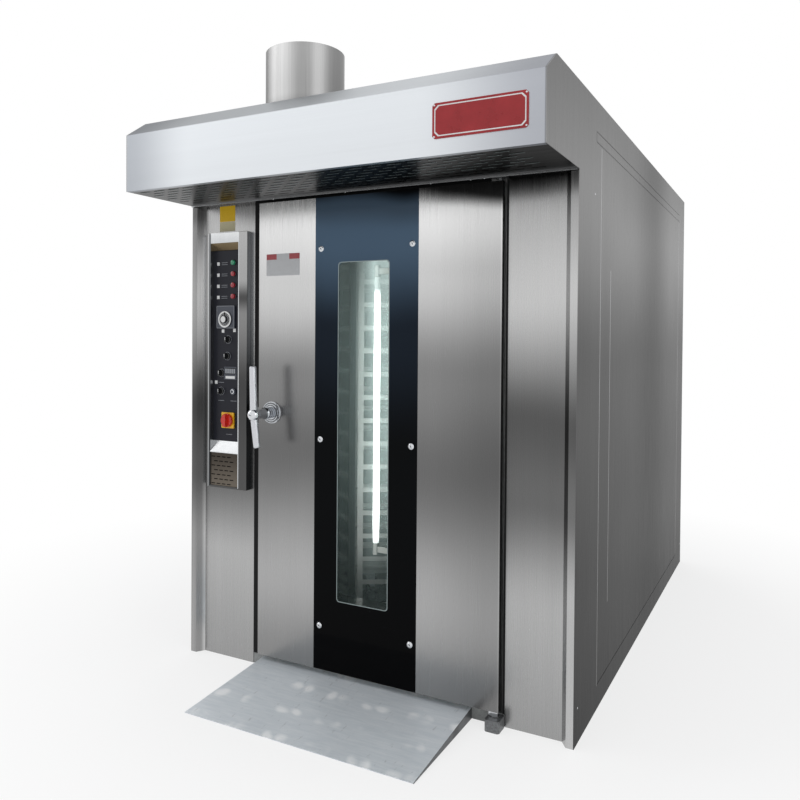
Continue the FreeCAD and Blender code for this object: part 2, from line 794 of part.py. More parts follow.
def make_heat():
    """Tubular heaters, circulation fan and its motor, and the steam generator."""
    bank = []
    heater_y = f"({baffle_face} + inner_sheet + heater_clearance + heater_bend + heater_radius)"
    heater_length = f"{rear_liner} - heater_plate - {heater_y}"
    for step in range(count("heater_count")):
        across = f"({step} - (heater_count - 1) / 2) * heater_pitch"
        for end, sign in (("upper", "+"), ("lower", "-")):
            bank.append(rod(f"heater_{step}_{end}", "heater_radius", heater_length, across,
                            heater_y, f"heater_height {sign} heater_bend", BACKWARD))
    loops = []
    for step in range(count("heater_count")):
        bend = doc.addObject("Part::Torus", f"heater_{step}_bend")
        bend.setExpression("Radius1", bound("heater_bend"))
        bend.setExpression("Radius2", bound("heater_radius"))
        bend.Angle3 = 180
        turn = Rotation(Vector(0, 1, 0), 90).multiply(Rotation(Vector(0, 0, 1), 180))
        place(bend, f"({step} - (heater_count - 1) / 2) * heater_pitch", heater_y,
              "heater_height", turn)
        loops.append(bend)
    hairpins = []
    for step, bend in enumerate(loops):
        hairpin = doc.addObject("Part::MultiFuse", f"heater_{step}")
        hairpin.Shapes = [bend, bank[2 * step], bank[2 * step + 1]]
        hairpins.append(hairpin)
    plate_half = "(heater_count * heater_pitch / 2)"
    plate = box("heater_plate_block", f"-{plate_half}", plate_half,
                f"{rear_liner} - heater_plate", rear_liner,
                "heater_height - 2 * heater_bend", "heater_height + 2 * heater_bend")
    keep(group("heating_elements", hairpins + [plate]), "heating_elements")

    fan = body("circulation_impeller")
    turned(fan, [
        ("0", "0"), ("blower_hub_radius", "0"),
        ("blower_hub_radius", "blower_height - blower_plate"),
        ("blower_radius", "blower_height - blower_plate"), ("blower_radius", "blower_height"),
        ("blower_shaft_radius", "blower_height"),
        ("blower_shaft_radius", "cabinet_height - blower_top + blower_height + blower_motor_height / 2"),
        ("0", "cabinet_height - blower_top + blower_height + blower_motor_height / 2"),
    ])
    blade = pad(fan, "XY", "0", "blower_height - blower_plate", lambda s: rectangle(
        s, "blower_radius * 0.55", "blower_radius - blower_plate", "0", "blower_plate"))
    ring = fan.newObject("PartDesign::PolarPattern", "circulation_blades")
    ring.Originals = [blade]
    ring.Axis = (blade.Profile[0], ["N_Axis"])
    ring.Angle = 360
    ring.Occurrences = count("blower_blades")
    fan.Tip = ring
    place(fan, "0", blower_y, "blower_top - blower_height")
    keep(fan, "circulation_impeller")

    motor = body("circulation_motor")
    bore = "(blower_shaft_radius + turning_fit)"
    turned(motor, [
        (bore, "0"), ("blower_motor_radius + blower_flange", "0"),
        ("blower_motor_radius + blower_flange", "gearbox_plate"),
        ("blower_motor_radius", "gearbox_plate"),
        ("blower_motor_radius", "blower_motor_height - gearbox_plate"),
        ("blower_motor_radius * 0.85", "blower_motor_height"),
        ("0", "blower_motor_height"), ("0", "blower_motor_height / 2 + gearbox_plate"),
        (bore, "blower_motor_height / 2 + gearbox_plate"),
    ])
    place(motor, "0", blower_y, "cabinet_height")
    keep(motor, "circulation_motor")

    steam = body("steam_generator")
    steam_low_x = f"({water_x} - steam_bar)"
    steam_high_x = f"({steam_low_x} + steam_length)"
    cheek_low = f"({water_y} - steam_bar)"
    cheek_high = f"({water_y} + steam_bar)"
    cheek_top = "(steam_low + steam_pitch * steam_count)"
    for low in (steam_low_x, f"({steam_high_x} - steam_bar_sheet)"):
        pad(steam, "YZ", low, f"{low} + steam_bar_sheet",
            lambda s: rectangle(s, cheek_low, cheek_high, floor_top, cheek_top))
    bar = pad(steam, "YZ", steam_low_x, steam_high_x, lambda s: polygon(s, [
        (cheek_low, "steam_low"), (cheek_high, "steam_low"),
        (cheek_high, "steam_low + steam_bar"),
        (f"{cheek_high} - steam_bar_sheet", "steam_low + steam_bar"),
        (f"{cheek_high} - steam_bar_sheet", "steam_low + steam_bar_sheet"),
        (cheek_low, "steam_low + steam_bar_sheet")]))
    bars = count("steam_count - 1")
    repeat(bar, "V", f"steam_pitch * {max(1, bars - 1)}", bars)
    pipe_foot = f"(steam_low + steam_pitch * {max(0, bars - 1)} + steam_bar_sheet)"
    pipe = body("water_pipe")
    turned(pipe, [
        ("0", pipe_foot), ("water_pipe_radius", pipe_foot), ("water_pipe_radius", "cabinet_height"),
        ("water_nipple_radius", "cabinet_height"),
        ("water_nipple_radius", "cabinet_height + water_pipe_rise"),
        ("0", "cabinet_height + water_pipe_rise")])
    place(pipe, water_x, water_y, "0")
    keep(group("steam_unit", [steam, pipe]), "steam_generator")


# ------------------------------------------------------------ roof services

def make_roof_services():
    """Flue, extraction fan, rack drive and power gland."""
    flue = body("flue_pipe")
    inner = "(flue_radius - flue_wall)"
    turned(flue, [
        (inner, "0"), ("flue_radius + flue_flange", "0"),
        ("flue_radius + flue_flange", "flue_wall"), ("flue_radius", "flue_wall"),
        ("flue_radius", "flue_top - cabinet_height"), (inner, "flue_top - cabinet_height"),
    ])
    place(flue, flue_x, flue_y, "cabinet_height")
    keep(flue, "flue_pipe")

    motor_top = f"({roof_under} - exhaust_motor_drop)"
    motor_low = f"({motor_top} - exhaust_motor_height)"
    bracket = body("exhaust_bracket")
    strap = "(exhaust_motor_radius * 2 / 3)"
    hang = "(flue_radius + flue_wall)"
    pad(bracket, "YZ", f"{flue_x} - {strap}", f"{flue_x} + {strap}", lambda s: polygon(s, [
        (f"{flue_y} - {hang}", motor_top), (f"{flue_y} + {hang} - panel_recess", motor_top),
        (f"{flue_y} + {hang} - panel_recess", roof_under),
        (f"{flue_y} + {hang} - panel_recess - gearbox_plate / 2", roof_under),
        (f"{flue_y} + {hang} - panel_recess - gearbox_plate / 2", f"{motor_top} + gearbox_plate / 2"),
        (f"{flue_y} - {hang} + gearbox_plate / 2", f"{motor_top} + gearbox_plate / 2"),
        (f"{flue_y} - {hang} + gearbox_plate / 2", roof_under),
        (f"{flue_y} - {hang}", roof_under),
    ]))
    pocket(bracket, "XY", motor_top, roof_under, lambda s: circle(
        s, flue_x, flue_y, "exhaust_shaft_radius + shaft_hole_gap"))
    can = body("exhaust_can")
    turned(can, [
        ("exhaust_shaft_radius + turning_fit", "exhaust_motor_height / 3"),
        ("exhaust_shaft_radius + turning_fit", "exhaust_motor_height"),
        ("exhaust_motor_radius", "exhaust_motor_height"),
        ("exhaust_motor_radius", "gearbox_plate / 2"),
        ("exhaust_motor_radius - gearbox_plate / 2", "0"), ("0", "0"),
        ("0", "exhaust_motor_height / 3"),
    ])
    place(can, flue_x, flue_y, motor_low)
    keep(group("exhaust_motor_unit", [can, bracket]), "exhaust_motor")

    fan = body("exhaust_impeller")
    shaft_low = f"(-exhaust_lift - outer_sheet - exhaust_motor_drop - exhaust_motor_height / 2)"
    turned(fan, [
        ("0", shaft_low), ("exhaust_shaft_radius", shaft_low), ("exhaust_shaft_radius", "0"),
        ("exhaust_hub_radius", "0"), ("exhaust_hub_radius", "exhaust_fan_height"),
        ("0", "exhaust_fan_height + exhaust_shaft_radius"),
    ])
    blade = fan.newObject("PartDesign::AdditiveLoft", "exhaust_blade")
    blade_tip = "(flue_radius - flue_wall - exhaust_blade_gap)"
    root = sketch(fan, "YZ", "exhaust_hub_radius * 0.8")
    polygon(root, [("-16", "4"), ("-13", "4"), ("16", "exhaust_fan_height - 4"),
                   ("13", "exhaust_fan_height - 4")])
    tip = sketch(fan, "YZ", blade_tip)
    polygon(tip, [("-34", "10"), ("-31", "9"), ("34", "exhaust_fan_height - 10"),
                  ("31", "exhaust_fan_height - 9")])
    blade.Profile = root
    blade.Sections = [tip]
    ring = fan.newObject("PartDesign::PolarPattern", "exhaust_blade_ring")
    ring.Originals = [blade]
    axis = [item for item in fan.Origin.OriginFeatures if item.Role == "Z_Axis"][0]
    ring.Axis = (axis, [""])
    ring.Angle = 360
    ring.Occurrences = count("exhaust_blades")
    fan.Tip = ring
    place(fan, flue_x, flue_y, "cabinet_height + exhaust_lift")
    keep(fan, "exhaust_impeller")

    drive = body("drive_gearmotor")
    plate_half = "(gearbox_size / 2 + gearbox_plate_margin)"
    pad(drive, "XY", "0", "gearbox_plate",
        lambda s: rectangle(s, f"-{plate_half}", plate_half, f"-{plate_half}", plate_half))
    pad(drive, "XY", "gearbox_plate", "gearbox_plate + gearbox_height", lambda s: octagon(
        s, "-gearbox_size / 2", "gearbox_size / 2", "-gearbox_size / 2", "gearbox_size / 2",
        "gearbox_plate"))
    pad(drive, "XZ", "gearbox_size / 2", "gearbox_size / 2 + drive_motor_length",
        lambda s: circle(s, "0", "gearbox_plate + outer_sheet + drive_motor_radius",
                         "drive_motor_radius"))
    pocket(drive, "XY", "0", "gearbox_plate + gearbox_height",
           lambda s: circle(s, "0", "0", "drive_shaft_radius + turning_fit"))
    place(drive, turn_x, turn_y, "cabinet_height")
    keep(drive, "drive_gearmotor")

    gland = body("power_gland")
    turned(gland, tube("gland_radius", "gland_bore", "0", "gland_height"))
    place(gland, gland_x, gland_y, "cabinet_height")
    keep(gland, "power_gland")


# ------------------------------------------------------------ turntable and rack

RACK_TURN = Rotation(Vector(0, 0, 1), SIZES["rack_stop_angle"])
tube_half = "(rack_tube / 2)"
turntable_top = f"({floor_top} + turntable_gap + turntable_thickness)"
rack_x = "(rack_length / 2)"
rack_y = "(rack_width / 2)"


def on_rack(item):
    """Turn a piece drawn about the turntable's axis to where the rack has stopped."""
    item.Placement = Placement(Vector(0, 0, 0), RACK_TURN)
    item.setExpression(".Placement.Base.x", bound(turn_x))
    item.setExpression(".Placement.Base.y", bound(turn_y))
    return item


def make_turntable():
    """Turntable plate with its stub, and the hanging drive shaft with the rack carrier."""
    disc = body("turntable")
    foot = "(base_height - bearing_height + shaft_end_gap)"
    boss_low = "(base_height + running_gap)"
    under = f"({floor_top} + turntable_gap)"
    turned(disc, [
        ("0", foot), ("stub_radius", foot), ("stub_radius", boss_low), ("boss_radius", boss_low),
        ("boss_radius", under), ("turntable_radius", under),
        ("turntable_radius", f"{under} + outer_sheet"),
        ("turntable_radius - turntable_bevel", turntable_top), ("0", turntable_top),
    ])
    place(disc, turn_x, turn_y, "0")
    keep(disc, "turntable")

    drive = body("drive_shaft")
    shaft_low = "(rack_high + carrier_thickness)"
    turned(drive, [("0", shaft_low), ("drive_shaft_radius", shaft_low),
                   ("drive_shaft_radius", "cabinet_height + gearbox_plate + gearbox_height"),
                   ("0", "cabinet_height + gearbox_plate + gearbox_height")])
    reach = f"({rack_y} + running_gap + carrier_thickness)"
    pad(drive, "YZ", "-carrier_width / 2", "carrier_width / 2", lambda s: polygon(s, [
        (f"-{reach}", "rack_high - carrier_finger"),
        (f"-{reach} + carrier_thickness", "rack_high - carrier_finger"),
        (f"-{reach} + carrier_thickness", "rack_high"),
        (f"{reach} - carrier_thickness", "rack_high"),
        (f"{reach} - carrier_thickness", "rack_high - carrier_finger"),
        (reach, "rack_high - carrier_finger"),
        (reach, "rack_high + carrier_thickness"), (f"-{reach}", "rack_high + carrier_thickness"),
    ]))
    on_rack(drive)
    keep(drive, "drive_shaft")


def make_rack():
    """Rack of square tube with its tray runners and its casters."""
    tubes = []
    for step, (x, y) in enumerate(((1, 1), (1, -1), (-1, 1), (-1, -1))):
        tubes.append(box(f"rack_post_{step}", f"{x} * ({rack_x} - {tube_half}) - {tube_half}",
                         f"{x} * ({rack_x} - {tube_half}) + {tube_half}",
                         f"{y} * ({rack_y} - {tube_half}) - {tube_half}",
                         f"{y} * ({rack_y} - {tube_half}) + {tube_half}", "rack_low", "rack_high"))
    for level, low in (("low", "rack_low"), ("high", "(rack_high - rack_tube)")):
        for step, y in enumerate((1, -1)):
            tubes.append(box(f"rack_long_rail_{level}_{step}", f"rack_tube - {rack_x}",
                             f"{rack_x} - rack_tube",
                             f"{y} * ({rack_y} - {tube_half}) - {tube_half}",
                             f"{y} * ({rack_y} - {tube_half}) + {tube_half}",
                             low, f"{low} + rack_tube"))
        for step, x in enumerate((1, -1)):
            tubes.append(box(f"rack_cross_rail_{level}_{step}",
                             f"{x} * ({rack_x} - {tube_half}) - {tube_half}",
                             f"{x} * ({rack_x} - {tube_half}) + {tube_half}",
                             f"rack_tube - {rack_y}", f"{rack_y} - rack_tube",
                             low, f"{low} + rack_tube"))
    keep(on_rack(group("rack_frame", tubes)), "rack_frame")

    runners = body("rack_runners")
    leg_low = "(tier_first - runner_leg / 2)"
    leg_high = "(tier_first + runner_leg / 2)"
    inner_face = f"({rack_y} - rack_tube)"
    shelf_end = f"({inner_face} - runner_shelf)"
    for sign in ("", "-"):
        tier = pad(runners, "YZ", f"-{rack_x}", rack_x, lambda s, k=sign: polygon(s, [
            (f"{k}{inner_face}", leg_low), (f"{k}{inner_face}", leg_high),
            (f"{k}({inner_face} - runner_sheet)", leg_high),
            (f"{k}({inner_face} - runner_sheet)", f"{leg_low} + runner_sheet"),
            (f"{k}{shelf_end}", f"{leg_low} + runner_sheet"), (f"{k}{shelf_end}", leg_low),
        ]))
        repeat(tier, "V", "tier_pitch * (tier_count - 1)", count("tier_count"))
    on_rack(runners)
    keep(runners, "rack_runners")

    wheel_z = f"({turntable_top} + running_gap + caster_radius)"
    cheek_in = "(caster_width / 2 + caster_side_gap)"
    cheek_out = f"({cheek_in} + caster_fork_cheek)"
    corner_x = f"({rack_x} - caster_inset)"
    corner_y = f"({rack_y} - {tube_half})"
    fork_top = "(rack_low - caster_plate)"
    crown = f"({wheel_z} + caster_radius + caster_side_gap)"
    rigid = []
    for name, x, y in (("front_left", -1, -1), ("rear_left", -1, 1),
                       ("front_right", 1, -1), ("rear_right", 1, 1)):
        swivels = x < 0
        place_x = f"({x} * {corner_x})"
        place_y = f"({y} * {corner_y})"
        trail = "(caster_trail)" if swivels else "0"
        axle_x = f"({place_x} + {trail})"
        fork = body(f"{name}_fork")
        arch_low = crown
        arch_high = f"({fork_top} - running_gap)" if swivels else fork_top
        pad(fork, "XY", arch_low, arch_high, lambda s, a=axle_x, b=place_y, c=place_x: rectangle(
            s, f"{c} - caster_plate * 2", f"{a} + caster_plate * 2", f"{b} - {cheek_out}",
            f"{b} + {cheek_out}"))
        for sign in (1, -1):
            low, high = sorted((f"{place_y} + {sign} * {cheek_in}", f"{place_y} + {sign} * {cheek_out}"),
                               key=number)
            pad(fork, "XZ", low, high, lambda s, a=axle_x, c=place_x, d=arch_low: polygon(s, [
                (f"{a} - caster_plate * 2", f"{wheel_z} - caster_plate * 2"),
                (f"{a} + caster_plate * 2", f"{wheel_z} - caster_plate * 2"),
                (f"{a} + caster_plate * 2", d), (f"{c} - caster_plate * 2", d)]))
        pad(fork, "XZ", f"{place_y} - {cheek_in}", f"{place_y} + {cheek_in}",
            lambda s, a=axle_x: circle(s, a, wheel_z, "caster_axle_radius"))
        if swivels:
            pad(fork, "XY", arch_high, f"rack_low - running_gap",
                lambda s, a=place_x, b=place_y: circle(s, a, b, "caster_stem_radius"))
            on_rack(fork)
            keep(fork, f"{name}_caster_fork")
        else:
            rigid.append(on_rack(fork))
        wheel = body(f"{name}_wheel")
        pad(wheel, "XZ", f"{place_y} - caster_width / 2", f"{place_y} + caster_width / 2",
            lambda s, a=axle_x: (circle(s, a, wheel_z, "caster_radius"),
                                 circle(s, a, wheel_z, "caster_axle_radius + turning_fit")))
        on_rack(wheel)
        keep(wheel, f"{name}_caster_wheel")
    plates = []
    for step, (x, y) in enumerate(((-1, -1), (-1, 1), (1, -1), (1, 1))):
        plate = body(f"caster_plate_{step}")
        middle_x = f"({x} * {corner_x})"
        middle_y = f"({y} * {corner_y})"
        bore = "caster_stem_radius + turning_fit"
        size = "(caster_pad * 4)"
        pad(plate, "XY", fork_top, "rack_low",
            lambda s, a=middle_x, b=middle_y, k=x, r=bore, w=size: (
                rectangle(s, f"{a} - {w}", f"{a} + {w}", f"{b} - {w} * 0.75", f"{b} + {w} * 0.75"),
                circle(s, a, b, r) if k < 0 else None))
        plates.append(on_rack(plate))
    keep(group("rigid_casters", rigid + plates), "caster_mountings")


# ------------------------------------------------------------ door

pivot_x = f"({door_right} - pivot_inset)"
pivot_y = deep("(door_sheet + door_slab) / 2 - outer_sheet")
handle_x = f"({door_left} + handle_inset)"
glass_left = "(-glass_left)"
glass_right = "(glass_right)"
window = ("(-window_left)", "(window_right)", "(window_bottom)", "(window_top)")
core_front = deep("door_sheet")


def grown(bounds, margin):
    """Grow a bound rectangle by a margin on every side."""
    x_low, x_high, z_low, z_high = bounds
    return (f"({x_low} - {margin})", f"({x_high} + {margin})", f"({z_low} - {margin})",
            f"({z_high} + {margin})")


def make_door():
    """Insulated door leaf with its skins, glass, seal, lamp and fittings."""
    core = body("door_core")
    pad(core, "XZ", core_front, slab_back,
        lambda s: rectangle(s, door_left, door_right, "door_bottom", "door_top"))
    pad(core, "XZ", slab_back, plug_back,
        lambda s: rectangle(s, plug_left, plug_right, plug_bottom, plug_top))
    tunnel = grown(window, "tunnel_margin")
    seat = grown(tunnel, "pane_margin")
    pocket(core, "XZ", core_front, plug_back, lambda s: rectangle(s, *tunnel))
    pocket(core, "XZ", f"{plug_back} - pane_thickness", plug_back,
           lambda s: rectangle(s, *seat))
    latch_front = f"({core_front} + latch_clearance * 2)"
    latch_back = f"({latch_front} + latch_thickness + 2 * latch_clearance)"
    pocket(core, "XZ", latch_front, latch_back, lambda s: rectangle(
        s, door_left, f"{handle_x} + latch_width * 1.3",
        "handle_height - latch_length - latch_clearance * 3", "handle_height + latch_width * 1.3"))
    pocket(core, "XZ", core_front, latch_front, lambda s: circle(
        s, handle_x, "handle_height", "handle_shaft_radius + handle_shaft_fit"))
    for low, high in (("door_bottom", "door_bottom + pivot_depth + 2 * washer_height"),
                      ("door_top - pivot_depth - 2 * washer_height", "door_top")):
        pocket(core, "XY", low, high,
               lambda s: circle(s, pivot_x, pivot_y, "pivot_radius + pivot_fit"))
    keep(core, "door_core")

    skins = []
    for side, low, high in (("left", door_left, glass_left), ("right", glass_right, door_right)):
        skin = body(f"{side}_door_skin")
        pad(skin, "XZ", front, core_front, lambda s, a=low, b=high: (
            rectangle(s, a, b, "door_bottom", "door_top"),
            circle(s, handle_x, "handle_height", "handle_shaft_radius + handle_shaft_fit")
            if side == "left" else None))
        skins.append(skin)
    keep(group("door_skins", skins), "door_skins")

    glass = body("door_black_glass")
    pad(glass, "XZ", front, core_front, lambda s: (
        rectangle(s, glass_left, glass_right, "door_bottom", "door_top"),
        octagon(s, *window, "window_corner")))
    keep(glass, "door_black_glass")

    outer_pane = body("outer_pane")
    pad(outer_pane, "XZ", front, core_front, lambda s: octagon(s, *window, "window_corner"))
    inner_pane = box("inner_pane", seat[0], seat[1], f"{plug_back} - pane_thickness", plug_back,
                     seat[2], seat[3])
    keep(group("window_panes", [outer_pane, inner_pane]), "window_panes")

    seal_back = f"({wall_face} - running_gap)"
    outer_left = f"({opening_left} - gasket_inset - gasket_width)"
    outer_right = f"({opening_right} + gasket_inset + gasket_width)"
    outer_top = f"({opening_top} + gasket_inset + gasket_width)"
    seal_low = "(door_bottom + washer_height)"
    keep(group("door_gasket", [
        box("gasket_left", outer_left, f"{outer_left} + gasket_width", slab_back, seal_back,
            seal_low, outer_top),
        box("gasket_right", f"{outer_right} - gasket_width", outer_right, slab_back, seal_back,
            seal_low, outer_top),
        box("gasket_top", f"{outer_left} + gasket_width", f"{outer_right} - gasket_width",
            slab_back, seal_back, f"{outer_top} - gasket_width", outer_top),
        box("gasket_bottom", plug_left, plug_right, plug_back, f"{plug_back} + gasket_inset",
            plug_bottom, f"{plug_bottom} + gasket_width"),
    ]), "door_gasket")

    fittings = []
    for column, x in enumerate((f"({glass_left} + screw_inset)", f"({glass_right} - screw_inset)")):
        for line, z in enumerate(("screw_low", "screw_middle", "screw_high")):
            screw = body(f"cap_screw_{column}_{line}")
            turned(screw, [
                ("0", "0"), ("screw_radius", "0"), ("screw_radius", "screw_head / 2"),
                ("screw_radius * 0.8", "screw_head"), ("screw_radius * 0.35", "screw_head"),
                ("screw_radius * 0.35", "screw_head * 0.6"), ("0", "screw_head * 0.6")])
            place(screw, x, front, z, FORWARD)
            fittings.append(screw)
    rosette = body("handle_rosette")
    turned(rosette, [
        ("handle_collar_radius + running_gap", "0"), ("rosette_radius", "0"),
        ("rosette_radius", "rosette_height / 2"), ("rosette_radius * 0.85", "rosette_height"),
        ("handle_collar_radius + running_gap", "rosette_height")])
    place(rosette, handle_x, front, "handle_height", FORWARD)
    fittings.append(rosette)
    shoe = body("pivot_shoe")
    pad(shoe, "XY", "door_bottom - shoe_thickness", "door_bottom", lambda s: (
        rectangle(s, f"{door_right} - pivot_block_width * 0.65", f"{door_right} - outer_sheet",
                  front, slab_back),
        circle(s, pivot_x, pivot_y, "pivot_radius + pivot_fit")))
    fittings.append(shoe)
    keep(group("door_metalwork", fittings), "door_fittings")

    lamp_y = deep("(door_slab + door_plug) / 2")
    tube_rod = rod("lamp_tube", "lamp_radius", "lamp_high - lamp_low", "lamp_across", lamp_y,
                   "lamp_low")
    holders = [
        box(f"lamp_holder_{end}", "lamp_across - lamp_radius", tunnel[1],
            f"{lamp_y} - lamp_radius", f"{lamp_y} + lamp_radius", low, f"{low} + lamp_holder_height")
        for end, low in (("low", "(lamp_low - lamp_holder_height)"), ("high", "(lamp_high)"))
    ]
    keep(group("door_lamp_unit", [tube_rod] + holders), "door_lamp")


def make_door_metal():
    """Pivot block, pivot bracket and latch keeper that stay with the frame."""
    washer_top = "(door_bottom - shoe_thickness - running_gap)"
    block = body("lower_pivot_block")
    block_top = f"({washer_top} - washer_height)"
    block_left = f"({pivot_x} - pivot_block_width / 2)"
    pad(block, "XY", "0", block_top, lambda s: octagon(
        s, block_left, f"{block_left} + pivot_block_width", deep("-pivot_block_front"), panel_face,
        "washer_height * 2"))
    pad(block, "XY", block_top, washer_top, lambda s: circle(s, pivot_x, pivot_y, "washer_radius"))
    pad(block, "XY", washer_top, "door_bottom + pivot_depth",
        lambda s: circle(s, pivot_x, pivot_y, "pivot_radius"))

    bracket = body("upper_pivot_bracket")
    bracket_high = "(hood_bottom)"
    bracket_low = "(hood_bottom - pivot_bracket_thickness)"
    pad(bracket, "XY", bracket_low, bracket_high, lambda s: rectangle(
        s, f"{pivot_x} - washer_radius", panel_right, front, panel_face))
    pad(bracket, "XY", "door_top - pivot_depth", bracket_low,
        lambda s: circle(s, pivot_x, pivot_y, "pivot_radius"))

    keeper = body("latch_keeper")
    latch_front = f"({core_front} + latch_clearance * 2)"
    lip_low = f"({latch_front} + latch_clearance - running_gap - keeper_thickness)"
    reach_left = f"({panel_left} + latch_clearance)"
    reach_right = f"({door_left} - latch_clearance)"
    tall_low = "(handle_height - latch_width)"
    tall_high = "(handle_height + latch_width)"
    pad(keeper, "XY", tall_low, tall_high, lambda s: polygon(s, [
        (reach_left, lip_low), (reach_right, lip_low),
        (reach_right, f"{lip_low} + keeper_thickness"),
        (f"{reach_left} + keeper_thickness", f"{lip_low} + keeper_thickness"),
        (f"{reach_left} + keeper_thickness", f"{wall_face} - outer_sheet"),
        (reach_left, f"{wall_face} - outer_sheet")]))
    keep(group("door_ironwork_unit", [block, bracket, keeper]), "door_ironwork")


def make_handle():
    """Door handle with its ribbed shaft, hub and two-arm lever, and the latch cam."""
    lever = body("door_handle")
    inner_end = f"(-door_sheet - latch_clearance * 3 - latch_thickness)"
    ribs = [("0", inner_end), ("handle_shaft_radius", inner_end), ("handle_shaft_radius", "running_gap"),
            ("handle_collar_radius", "running_gap"), ("handle_collar_radius", "rosette_height * 2")]
    for step in range(3):
        low = f"(rosette_height * {2 + 2 * step})"
        ribs += [("handle_collar_radius * 0.86", f"{low} + 1"),
                 ("handle_collar_radius * 0.86", f"{low} + rosette_height"),
                 ("handle_collar_radius", f"{low} + rosette_height + 1"),
                 ("handle_collar_radius", f"{low} + rosette_height * 2")]
    ribs += [("handle_collar_radius * 0.8", "handle_reach - handle_hub_radius * 0.6"),
             ("0", "handle_reach - handle_hub_radius * 0.6")]
    turned(lever, ribs)
    place(lever, handle_x, front, "handle_height", FORWARD)

    ball = doc.addObject("Part::Sphere", "handle_ball")
    ball.setExpression("Radius", bound("handle_hub_radius"))
    handle_face = deep("-handle_reach")
    place(ball, handle_x, handle_face, "handle_height")
    arms = []
    for end, length, lean in (("up", "handle_arm_up", -SIZES["handle_lean_up"]),
                              ("down", "handle_arm_down", 180 - SIZES["handle_lean_down"])):
        arm = doc.addObject("Part::Cone", f"handle_arm_{end}")
        arm.setExpression("Radius1", bound("handle_bar_root"))
        arm.setExpression("Radius2", bound("handle_bar_radius"))
        arm.setExpression("Height", bound(length))
        place(arm, handle_x, handle_face, "handle_height", Rotation(Vector(0, 1, 0), lean))
        arms.append(arm)
    whole = doc.addObject("Part::MultiFuse", "handle_lever")
    whole.Shapes = [lever, ball] + arms

    cam = body("latch_cam")
    latch_low = f"({core_front} + latch_clearance * 3)"
    pad(cam, "XZ", latch_low, f"{latch_low} + latch_thickness", lambda s: (
        rectangle(s, f"{handle_x} - latch_width * 0.85", f"{handle_x} + latch_width * 0.85",
                  "handle_height - latch_length", "handle_height + latch_width * 0.85"),
        circle(s, handle_x, "handle_height", "handle_shaft_radius")))
    keep(group("door_handle_unit", [whole, cam]), "door_handle")


# ------------------------------------------------------------ control unit

fascia_face = f"({panel_face} - bezel_back - fascia_thickness)"
bezel_front = f"({panel_face} - bezel_reach)"
bezel_left = f"(bezel_inset - {half})"
bezel_right = f"({bezel_left} + bezel_width)"
fascia_left = f"({bezel_left} + bezel_flange_left)"
fascia_right = f"({bezel_right} - bezel_flange_right)"

# Rows of the control column, each hung from the one above it.
bezel_high = "(hood_bottom - bezel_drop)"
recess_top = f"({bezel_high} - bezel_strip_top)"
fascia_high = f"({recess_top} - bezel_slope_top)"
pilot_row = f"({fascia_high} - pilot_gap)"
timer_row = f"({pilot_row} - 3 * pilot_pitch - timer_gap - timer_size / 2)"
row_a = f"({timer_row} - timer_size / 2 - row_a_gap)"
row_b = f"({row_a} - row_b_gap)"
row_c = f"({row_b} - row_c_gap)"
row_d = f"({row_c} - row_d_gap)"
switch_row = f"({row_d} - switch_gap - switch_plate_size / 2)"
fascia_low = f"({switch_row} - switch_plate_size / 2 - fascia_margin)"
recess_low = f"({fascia_low} - bezel_slope_low)"
vent_high = f"({recess_low} - vent_border)"
vent_low = f"({vent_high} - vent_height)"
bezel_low = f"({vent_low} - vent_foot)"
pilot_x = f"({bezel_left} + pilot_offset)"
timer_x = f"({bezel_left} + timer_offset)"
counter_x = f"({bezel_left} + counter_offset)"
button_x = f"({bezel_left} + button_offset)"
switch_x = f"({bezel_left} + switch_offset)"


